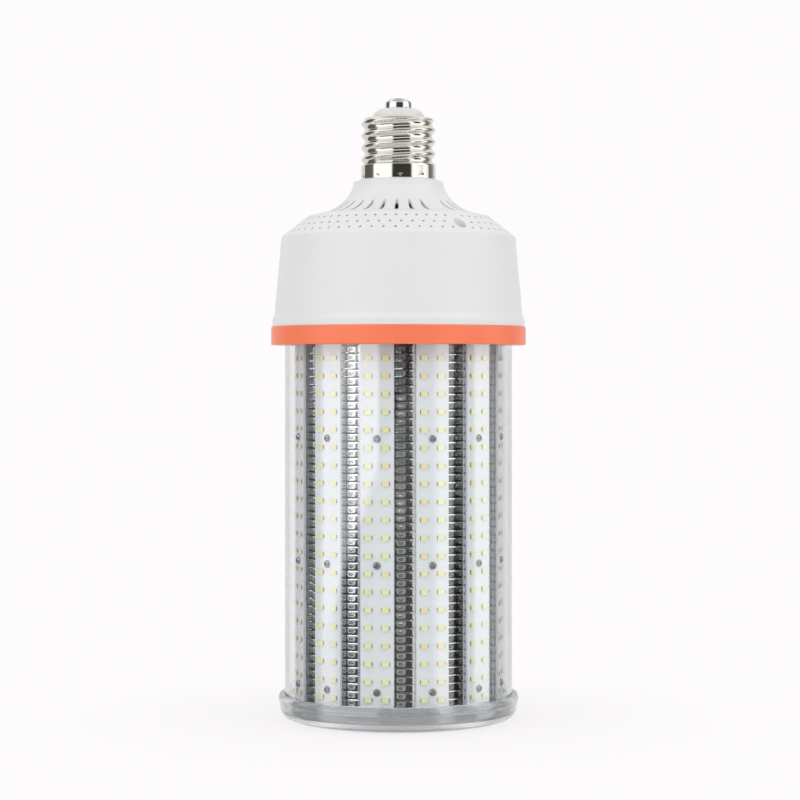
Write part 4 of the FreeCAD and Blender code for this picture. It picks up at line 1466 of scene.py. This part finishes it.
@dataclass
class Emitter:
    """Emitter on a strip: white frame with a window, yellow gel in it and tinned terminals.

    Depths are from the strip's face, negative to the front. The gel's edge and foot have a share of the
    window and a depth.
    """

    half: Point = (1.85, 1.6)
    cut: float = 0.35
    front_y: float = -0.7
    window_half: Point = (1.66, 1.42)
    window_corner: float = 0.8
    corner_ease: float = 0.3
    floor_share: float = 0.93
    floor_y: float = -0.5
    gel_edge: Point = (0.97, -0.64)
    gel_foot: Point = (0.9, -0.49)
    gel_top_y: float = -0.72
    terminal_x: Point = (1.8, 2.25)
    terminal_half_h: Point = (0.95, 0.8)
    terminal_y: float = -0.28

    def _window(self) -> list[Point]:
        """Rounded window of the frame.

        Returns:
            Its points, anticlockwise seen from the front.
        """
        half_w, half_h = self.window_half
        corner = self.window_corner
        ease = corner * self.corner_ease
        spots = [(half_w, half_h - corner), (half_w - ease, half_h - ease), (half_w - corner, half_h)]
        signs = ((-1, -1, 1), (1, -1, -1), (1, 1, 1), (-1, 1, -1))
        return [(x * across, z * up) for across, up, order in signs for x, z in spots[::order]]

    def frame_mesh(self) -> bpy.types.Mesh:
        """White frame, with cut corners and an open window.

        Returns:
            The new mesh.
        """
        window = self._window()
        (w, h), cut = self.half, self.cut
        outer = [(-w, -h), (0.0, -h), (w - cut, -h), (w, cut - h), (w, 0.0), (w, h), (w - cut, h), (0.0, h),
                 (cut - w, h), (-w, h), (-w, 0.0), (-w, cut - h)]
        count = len(outer)
        vertices = [(x, self.front_y, z) for x, z in (*outer, *window)]
        vertices += [(x, 0.0, z) for x, z in outer]
        vertices += [(x * self.floor_share, self.floor_y, z * self.floor_share) for x, z in window]
        faces = []
        for n in range(count):
            m = (n + 1) % count
            faces += [
                [n, m, count + m, count + n],
                [m, n, 2 * count + n, 2 * count + m],
                [count + n, count + m, 3 * count + m, 3 * count + n],
            ]
        faces += [list(range(3 * count - 1, 2 * count - 1, -1)), list(range(3 * count, 4 * count))]
        return mesh_of("led_frame", vertices, faces)

    def gel_mesh(self) -> bpy.types.Mesh:
        """Yellow gel that fills the window, a little domed.

        Returns:
            The new mesh.
        """
        window = self._window()
        count = len(window)
        levels = (self.gel_edge, self.gel_foot)
        vertices = [(x * share, y, z * share) for share, y in levels for x, z in window]
        vertices.append((0.0, self.gel_top_y, 0.0))
        faces = [list(range(2 * count - 1, count - 1, -1))]
        for n in range(count):
            m = (n + 1) % count
            faces += [[n, m, 2 * count], [m, n, count + n, count + m]]
        return mesh_of("led_gel", vertices, faces)

    def terminal_mesh(self) -> bpy.types.Mesh:
        """Two tinned terminals with their solder, one at each end.

        Returns:
            The new mesh.
        """
        left_h, right_h = self.terminal_half_h
        ends = []
        for side in (-1, 1):
            left, right = sorted(side * x for x in self.terminal_x)
            outline = [(left, -left_h), (right, -right_h), (right, right_h), (left, left_h)]
            ends.append(prism_mesh("terminal", outline, self.terminal_y, 0.0))
        return joined("led_terminal", ends)


@dataclass
class StripScrew:
    """Pan-head screw with a cross recess.

    The head's line has the radius, height and corner radius of each corner, and the recess's line is
    across and up.
    """

    head_line: tuple[Corner, ...] = (
        (0.0, 0.0, 0.0), (1.95, 0.0, 0.0), (1.95, 0.4, 0.3), (1.35, 1.2, 0.8), (0.0, 1.35, 0.0),
    )
    head_round_steps: int = 4
    steps: int = 24
    recess_line: tuple[Point, ...] = ((-0.95, 0.12), (0.95, 0.12), (1.4, 2.0), (-1.4, 2.0))
    recess_half_w: float = 0.4
    recess_turns_deg: Point = (20.0, 110.0)

    def head(self) -> bpy.types.Object:
        """Head of the screw, facing the front.

        Returns:
            The new object.
        """
        made = lathe("screw_master", rounded(self.head_line, self.head_round_steps), self.steps)
        for turn_deg in self.recess_turns_deg:
            arm = prism_mesh("arm", self.recess_line, -self.recess_half_w, self.recess_half_w)
            arm.transform(Matrix.Rotation(math.radians(turn_deg), 4, "Z"))
            carve(made, new_object("arm", joined("arm", [arm])))
        made.data.transform(Matrix.Rotation(math.radians(RIGHT_ANGLE_DEG), 4, "X"))
        return made


@dataclass
class LightCore:
    """Finned core: plates, fins with folded tabs, carriers, light strips, emitters and screws."""

    pattern: SidePattern
    emitter: Emitter = field(default_factory=Emitter)
    screw: StripScrew = field(default_factory=StripScrew)
    base_r: float = 57.0
    base_foot_z: float = 10.8
    base_ease: float = 0.3
    base_ease_steps: int = 3
    foot_z: float = 12.3
    top_z: float = 202.9
    strip_face_r: float = 54.4
    strip_w: float = 17.2
    strip_t: float = 1.6
    strip_top_z: float = 202.1
    strip_ease: float = 0.3
    strip_ease_steps: int = 2
    carrier_x: Point = (-10.3, 8.6)
    carrier_back_r: float = 47.8
    web_inset: float = 0.5
    web_back: float = 1.5
    rails: Point = (2.6, 0.9)
    flange_z: Point = (-3.25, 0.05)
    flange_unevenness_deg: float = 0.25
    flange_seed: int = 3
    tab_r: float = 49.7
    tab_unevenness_deg: float = 1.2
    tab_seed: int = 7
    fins: int = 45
    fin_pitch: float = 4.12
    fin_first_z: float = 15.92
    fin_t: float = 0.5
    fin_bore_r: float = 30.0
    sheet: float = 0.4
    led_rows: int = 20
    led_columns: int = 2
    led_pitch: float = 9.171
    led_first_z: float = 16.9
    led_columns_w: float = 9.0
    led_seed: int = 11
    screw_rows: int = 3
    screw_first_z: float = 20.7
    screw_pitch: float = 64.6
    fin_material: Optional[bpy.types.Material] = field(default=None, init=False)

    def build(self) -> None:
        """Make and fit every piece of the core."""
        self.fin_material = BRIGHT_FIN.material()
        self._base_plate()
        self._fins()
        self._tabs()
        self._webs()
        self._flanges()
        self._strips()
        self._emitters()
        self._screws()

    @property
    def strip_back_r(self) -> float:
        """Distance of the strips' backs from the axis."""
        return self.strip_face_r - self.strip_t

    @property
    def fin_middle_z(self) -> float:
        """Height of the middle of the first fin."""
        return self.fin_first_z + self.fin_t / 2

    def _base_plate(self) -> None:
        """Disc under the core, with eased edges."""
        piece = lathe("base_plate_disc", rounded([
            (0.0, self.base_foot_z),
            (self.base_r, self.base_foot_z, self.base_ease),
            (self.base_r, self.foot_z, self.base_ease),
            (0.0, self.foot_z),
        ], self.base_ease_steps))
        dress(piece, PLATE_ALUMINIUM.material())
        fit(piece, Slot.ALUMINIUM, "base_plate")

    def _fins(self) -> None:
        """Stack of twelve-sided fins."""
        half = math.pi / SIDES
        reach = self.carrier_back_r / math.cos(half)
        turns = [math.radians(FIRST_GAP_DEG - RIGHT_ANGLE_DEG) + 2 * half * n for n in range(SIDES)]
        vertices = []
        for z in (-self.fin_t / 2, self.fin_t / 2):
            for r in (reach, self.fin_bore_r):
                vertices += [(r * math.cos(t), r * math.sin(t), z) for t in turns]
        low_out, low_in, up_out, up_in = (SIDES * k for k in range(4))
        faces = []
        for n in range(SIDES):
            m = (n + 1) % SIDES
            faces += [
                [low_out + n, low_out + m, up_out + m, up_out + n],
                [up_out + n, up_out + m, up_in + m, up_in + n],
                [up_in + n, up_in + m, low_in + m, low_in + n],
                [low_in + n, low_in + m, low_out + m, low_out + n],
            ]
        master = new_object("fin_master", mesh_of("fin_master", vertices, faces))
        # The sheets take the darkened aluminium, which is painted shade.
        piece = self.pattern.spread(
            "fin_sheets", master, SHADED_FIN.material(), out=0.0, first_turn_deg=0.0, sides=1, rows=self.fins,
            first_row=self.fin_middle_z, row_pitch=self.fin_pitch)
        fit(piece, Slot.ALUMINIUM, "fin_stack")

    def _tabs(self) -> None:
        """Columns of folded tabs in the gaps between the strips."""
        master = new_object("tab_master", FinTab(self.sheet).mesh())
        piece = self.pattern.spread(
            "fin_tabs", master, self.fin_material, out=self.tab_r, first_turn_deg=FIRST_GAP_DEG,
            rows=self.fins, first_row=self.fin_middle_z, row_pitch=self.fin_pitch,
            unevenness_deg=self.tab_unevenness_deg, seed=self.tab_seed)
        smooth(piece.data, SMALL_PART_EDGE_DEG)
        fit(piece, Slot.ALUMINIUM)

    def _webs(self) -> None:
        """Web of the carrier behind each strip."""
        left, right = self.carrier_x[0] + self.web_inset, self.carrier_x[1] - self.web_inset
        outline = [(left, self.foot_z), (right, self.foot_z), (right, self.top_z), (left, self.top_z)]
        master = new_object("web_master", prism_mesh("web", outline, self.sheet, self.web_back))
        piece = self.pattern.spread("carrier_webs", master, self.fin_material, out=self.strip_back_r)
        fit(piece, Slot.ALUMINIUM, *numbered("strip_carrier"))

    def _flanges(self) -> None:
        """Side flanges of the carriers, stamped fin by fin."""
        depth = self.strip_back_r - self.carrier_back_r
        flanges = []
        for side, edge, rail in zip((-1, 1), self.carrier_x, self.rails):
            inner, end = edge - side * self.sheet, edge - side * rail
            plan = [(edge, 0.0), (edge, depth), (inner, depth), (inner, self.sheet), (end, self.sheet),
                    (end, 0.0)]
            low, high = ([(x, y, z) for x, y in plan] for z in self.flange_z)
            flanges.append(loft_mesh("flange", low, high))
        master = new_object("flange_master", joined("flange_master", flanges))
        piece = self.pattern.spread(
            "carrier_flanges", master, self.fin_material, out=self.strip_back_r, rows=self.fins + 1,
            first_row=self.fin_middle_z, row_pitch=self.fin_pitch,
            unevenness_deg=self.flange_unevenness_deg, seed=self.flange_seed)
        fit(piece, Slot.ALUMINIUM)

    def _strips(self) -> None:
        """White boards with eased edges."""
        half, top = self.strip_w / 2, self.strip_top_z
        outline = [(-half, self.foot_z), (half, self.foot_z), (half, top), (-half, top)]
        master = new_object("board_master", prism_mesh("board", outline, 0.0, self.strip_t))
        edges = master.modifiers.new("edges", "BEVEL")
        edges.width = self.strip_ease * MM
        edges.segments = self.strip_ease_steps
        settle(master)
        piece = self.pattern.spread("light_strips", master, STRIP_MASK.material(), out=self.strip_face_r)
        fit(piece, Slot.STRIP, *numbered("led_strip"))

    def _emitters(self) -> None:
        """Columns of emitters on each strip."""
        emitter = self.emitter
        parts = (
            ("emitter_frames", emitter.frame_mesh(), LED_FRAME, Slot.PHOSPHOR, numbered("strip_leds")),
            ("emitter_gels", emitter.gel_mesh(), LED_PHOSPHOR, Slot.PHOSPHOR, []),
            ("emitter_terminals", emitter.terminal_mesh(), SOLDER_TIN, Slot.STEEL, []),
        )
        for name, mesh, finish, slot, nodes in parts:
            master = new_object(name + "_master", joined(name + "_master", [mesh]))
            piece = self.pattern.spread(
                name, master, finish.material(), out=self.strip_face_r, rows=self.led_rows,
                columns=self.led_columns, first_row=self.led_first_z, row_pitch=self.led_pitch,
                column_pitch=self.led_columns_w, seed=self.led_seed)
            fit(piece, slot, *nodes)

    def _screws(self) -> None:
        """Screws on the strips' centre lines."""
        piece = self.pattern.spread(
            "strip_screws", self.screw.head(), SCREW_STEEL.material(), out=self.strip_face_r,
            rows=self.screw_rows, first_row=self.screw_first_z, row_pitch=self.screw_pitch)
        smooth(piece.data, SMALL_PART_EDGE_DEG)
        fit(piece, Slot.STEEL)


@dataclass
class InnerWorks:
    """Sealed pieces that keep their CAD shape: plate, fan, driver, screws and leads."""

    finishes: tuple[tuple[Finish, tuple[str, ...]], ...] = (
        (PLATE_ALUMINIUM, ("top_plate", "driver_heatsink")),
        (FAN_BLACK, ("fan_frame", "fan_rotor")),
        (SCREW_STEEL, ("housing_screws", "board_standoffs", "board_screws")),
        (LAMINATE_GREEN, ("driver_board",)),
        (FERRITE_DARK, ("driver_transformer", "driver_inductor")),
        (SLEEVE_BLACK, ("driver_capacitors",)),
        (COPPER_LEAD, ("centre_lead", "shell_lead")),
    )

    def build(self) -> None:
        """Dress each CAD node."""
        for finish, nodes in self.finishes:
            material = finish.material()
            for node in nodes:
                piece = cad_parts[node]
                dress(piece, material)
                log.info("%s: %s", node, finish.name)


# Studio


@dataclass
class Studio:
    """Pale floor, white background, soft light and the camera."""

    axis_distance: float = 1301.0
    camera_z: float = 185.0
    lens_mm: float = 110.25
    sensor_mm: float = 36.0
    shift: tuple[float, float] = (0.0019, -0.0375)
    floor_r: float = 1400.0
    floor_z: float = -0.3
    floor_t: float = 1.0
    floor_steps: int = 96
    floor_rough: float = 0.9
    paint: Colour = (0.86, 0.85, 0.855)
    shadow_r: tuple[float, float] = (60.0, 220.0)
    shadow_fade: float = 0.82
    white: Colour = (0.985, 0.967, 0.975)
    fill: float = 0.77
    lamps: tuple[Point, ...] = ((-52.0, 1.0), (56.0, 1.05))
    lamp_watts: float = 4.0
    lamp_size: Point = (700.0, 1100.0)
    lamp_reach: float = 1200.0
    lamp_z: float = 1000.0
    lamp_aim_z: float = 180.0
    box_level: float = 1.45
    ceiling: tuple[Point, ...] = ((0.0, 0.80), (50.0, 0.80), (66.0, 0.45), (88.0, 0.35))
    ceiling_deg: tuple[float, float] = (30.0, 50.0)
    boxes: tuple[Point, ...] = (
        (-180.0, 0.6), (-132.0, 0.6), (-126.0, 0.08), (-87.0, 0.1), (-80.0, 1.0), (-22.0, 1.0),
        (-18.0, 0.03), (39.0, 0.03), (44.0, 1.0), (94.0, 1.0), (106.0, 0.12), (130.0, 0.2), (145.0, 0.6),
    )
    below: tuple[Point, ...] = (
        (-180.0, 0.6), (-132.0, 0.6), (-126.0, 0.08), (-87.0, 0.08), (-82.0, 0.7), (-70.0, 0.7),
        (-64.0, 0.2), (-27.0, 0.2), (-22.0, 0.25), (34.0, 0.25), (42.0, 0.9), (54.0, 0.9),
        (59.0, 0.03), (80.0, 0.03), (85.0, 0.9), (103.0, 0.9), (109.0, 0.12), (130.0, 0.2), (145.0, 0.6),
    )
    box_foot_deg: float = -0.96
    box_foot_slant: float = 0.065
    box_foot_soft_deg: float = 0.4

    def build(self) -> None:
        """Set up floor, world, lamps and camera."""
        self._floor()
        self._world()
        for turn_deg, share in self.lamps:
            self._lamp(turn_deg, share)
        self._camera()
        bpy.context.scene.view_settings.view_transform = "Standard"

    def _floor(self) -> None:
        """Round floor that keeps the lamp's shadow and fades into the background."""
        foot = self.floor_z - self.floor_t
        floor = lathe("studio_floor", [(0.0, foot), (self.floor_r, foot), (self.floor_r, self.floor_z),
                                       (0.0, self.floor_z)], self.floor_steps)
        made = bpy.data.materials.new("studio_floor")
        made.use_nodes = True
        graph = Graph(made.node_tree)
        place = graph.node("ShaderNodeTexCoord").outputs["Object"]
        out = graph.node("ShaderNodeVectorMath", {0: place}, operation="LENGTH").outputs["Value"]
        fade = graph.node("ShaderNodeMapRange", {
            "Value": out,
            "From Min": self.shadow_r[0] * MM,
            "From Max": self.shadow_r[1] * MM,
            "To Min": self.shadow_fade,
            "To Max": 1.0,
        }, interpolation_type="SMOOTHSTEP").outputs["Result"]
        paint = graph.tree.nodes["Principled BSDF"]
        graph.set(paint, {
            "Base Color": (*self.paint, 1.0),
            "Roughness": self.floor_rough,
            "Specular IOR Level": 0.0,
        })
        bright = graph.node("ShaderNodeEmission", {"Color": (*self.white, 1.0)})
        lit = graph.node("ShaderNodeMixShader", {
            "Fac": graph.math("MULTIPLY", fade, graph.plain_view()),
            1: paint.outputs["BSDF"],
            2: bright.outputs["Emission"],
        })
        clear = graph.node("ShaderNodeBsdfTransparent")
        surface = graph.node("ShaderNodeMixShader", {
            "Fac": graph.mirror_ray(),
            1: lit.outputs["Shader"],
            2: clear.outputs["BSDF"],
        })
        graph.set(graph.tree.nodes["Material Output"], {"Surface": surface.outputs["Shader"]})
        dress(floor, made)

    def _world(self) -> None:
        """White background; mirrors see soft boxes at the sides and a dark room behind the camera."""
        world = bpy.data.worlds.new("studio")
        bpy.context.scene.world = world
        world.use_nodes = True
        graph = Graph(world.node_tree)
        soft = graph.tree.nodes["Background"]
        graph.set(soft, {"Color": (1.0, 1.0, 1.0, 1.0), "Strength": self.fill})
        seen = graph.node("ShaderNodeBackground", {"Color": (*self.white, 1.0)})
        room = graph.node("ShaderNodeBackground", {"Color": self._room(graph), "Strength": self.box_level})
        lit = graph.node("ShaderNodeMixShader", {
            "Fac": graph.mirror_ray(),
            1: soft.outputs["Background"],
            2: room.outputs["Background"],
        })
        whole = graph.node("ShaderNodeMixShader", {
            "Fac": graph.plain_view(),
            1: lit.outputs["Shader"],
            2: seen.outputs["Background"],
        })
        graph.set(graph.tree.nodes["World Output"], {"Surface": whole.outputs["Shader"]})

    def _room(self, graph: Graph) -> bpy.types.NodeSocket:
        """Levels of the room that mirrors see.

        Args:
            graph: The world's graph.

        Returns:
            The level's colour socket.
        """
        place = graph.node("ShaderNodeTexCoord").outputs["Generated"]
        parts = graph.node("ShaderNodeSeparateXYZ", {"Vector": place}).outputs
        front = graph.math("MULTIPLY", parts["Y"], -1.0)
        turn = graph.math("ARCTAN2", parts["X"], front)
        share = graph.math("MULTIPLY_ADD", turn, 0.5 / math.pi, 0.5)
        below, boxes = (
            graph.steps(share, [(0.5 + turn_deg / FULL_TURN_DEG, level) for turn_deg, level in stops])
            for stops in (self.below, self.boxes)
        )
        box_foot = graph.math("MULTIPLY_ADD", turn, self.box_foot_slant, math.radians(self.box_foot_deg))
        above = graph.node("ShaderNodeMapRange", {
            "Value": graph.math("SUBTRACT", parts["Z"], box_foot),
            "From Min": -math.radians(self.box_foot_soft_deg),
            "From Max": math.radians(self.box_foot_soft_deg),
        }, interpolation_type="SMOOTHSTEP").outputs["Result"]
        round_level = graph.node("ShaderNodeMix", data_type="RGBA")
        graph.set(round_level, {"Factor": above, "A": below, "B": boxes})
        tilt = graph.math("ABSOLUTE", parts["Z"])
        overhead = graph.node("ShaderNodeMapRange", {
            "Value": tilt,
            "From Min": math.sin(math.radians(self.ceiling_deg[0])),
            "From Max": math.sin(math.radians(self.ceiling_deg[1])),
        }, interpolation_type="SMOOTHSTEP").outputs["Result"]
        stops = [(math.sin(math.radians(up_deg)), level) for up_deg, level in self.ceiling]
        level = graph.node("ShaderNodeMix", data_type="RGBA")
        graph.set(level, {
            "Factor": overhead,
            "A": round_level.outputs["Result"],
            "B": graph.steps(tilt, stops),
        })
        return level.outputs["Result"]

    def _lamp(self, turn_deg: float, share: float) -> None:
        """Large soft lamp at one side.

        Args:
            turn_deg: Direction from the front.
            share: Strength against the studio's lamp strength.
        """
        data = bpy.data.lights.new("soft_lamp", "AREA")
        data.shape = "RECTANGLE"
        data.size, data.size_y = (side * MM for side in self.lamp_size)
        data.energy = self.lamp_watts * share
        lamp = bpy.data.objects.new("soft_lamp", data)
        lamp.visible_glossy = False
        bpy.context.scene.collection.objects.link(lamp)
        turn = math.radians(turn_deg)
        out = self.lamp_reach * MM
        place = Vector((math.sin(turn) * out, -math.cos(turn) * out, self.lamp_z * MM))
        aim = Vector((0.0, 0.0, self.lamp_aim_z * MM))
        lamp.location = place
        lamp.rotation_euler = (aim - place).to_track_quat("-Z", "Y").to_euler()

    def _camera(self) -> None:
        """Level camera at the front, its frame shifted to the lamp."""
        data = bpy.data.cameras.new("camera")
        data.lens = self.lens_mm
        data.sensor_width = self.sensor_mm
        data.shift_x, data.shift_y = self.shift
        data.dof.use_dof = False
        camera = bpy.data.objects.new("camera", data)
        camera.location = (0.0, -self.axis_distance * MM, self.camera_z * MM)
        camera.rotation_euler = (math.radians(RIGHT_ANGLE_DEG), 0.0, 0.0)
        bpy.context.scene.collection.objects.link(camera)
        bpy.context.scene.camera = camera


def main() -> None:
    """Build every sub-assembly and the studio."""
    logging.basicConfig(level=logging.INFO, format="%(name)s %(message)s")
    pattern = SidePattern()
    for part in (ScrewCap(), DriverHousing(), ClearCover(), LightCore(pattern), InnerWorks(), Studio()):
        part.build()
        log.info("%s built", type(part).__name__)


if __name__ == "__main__":
    main()
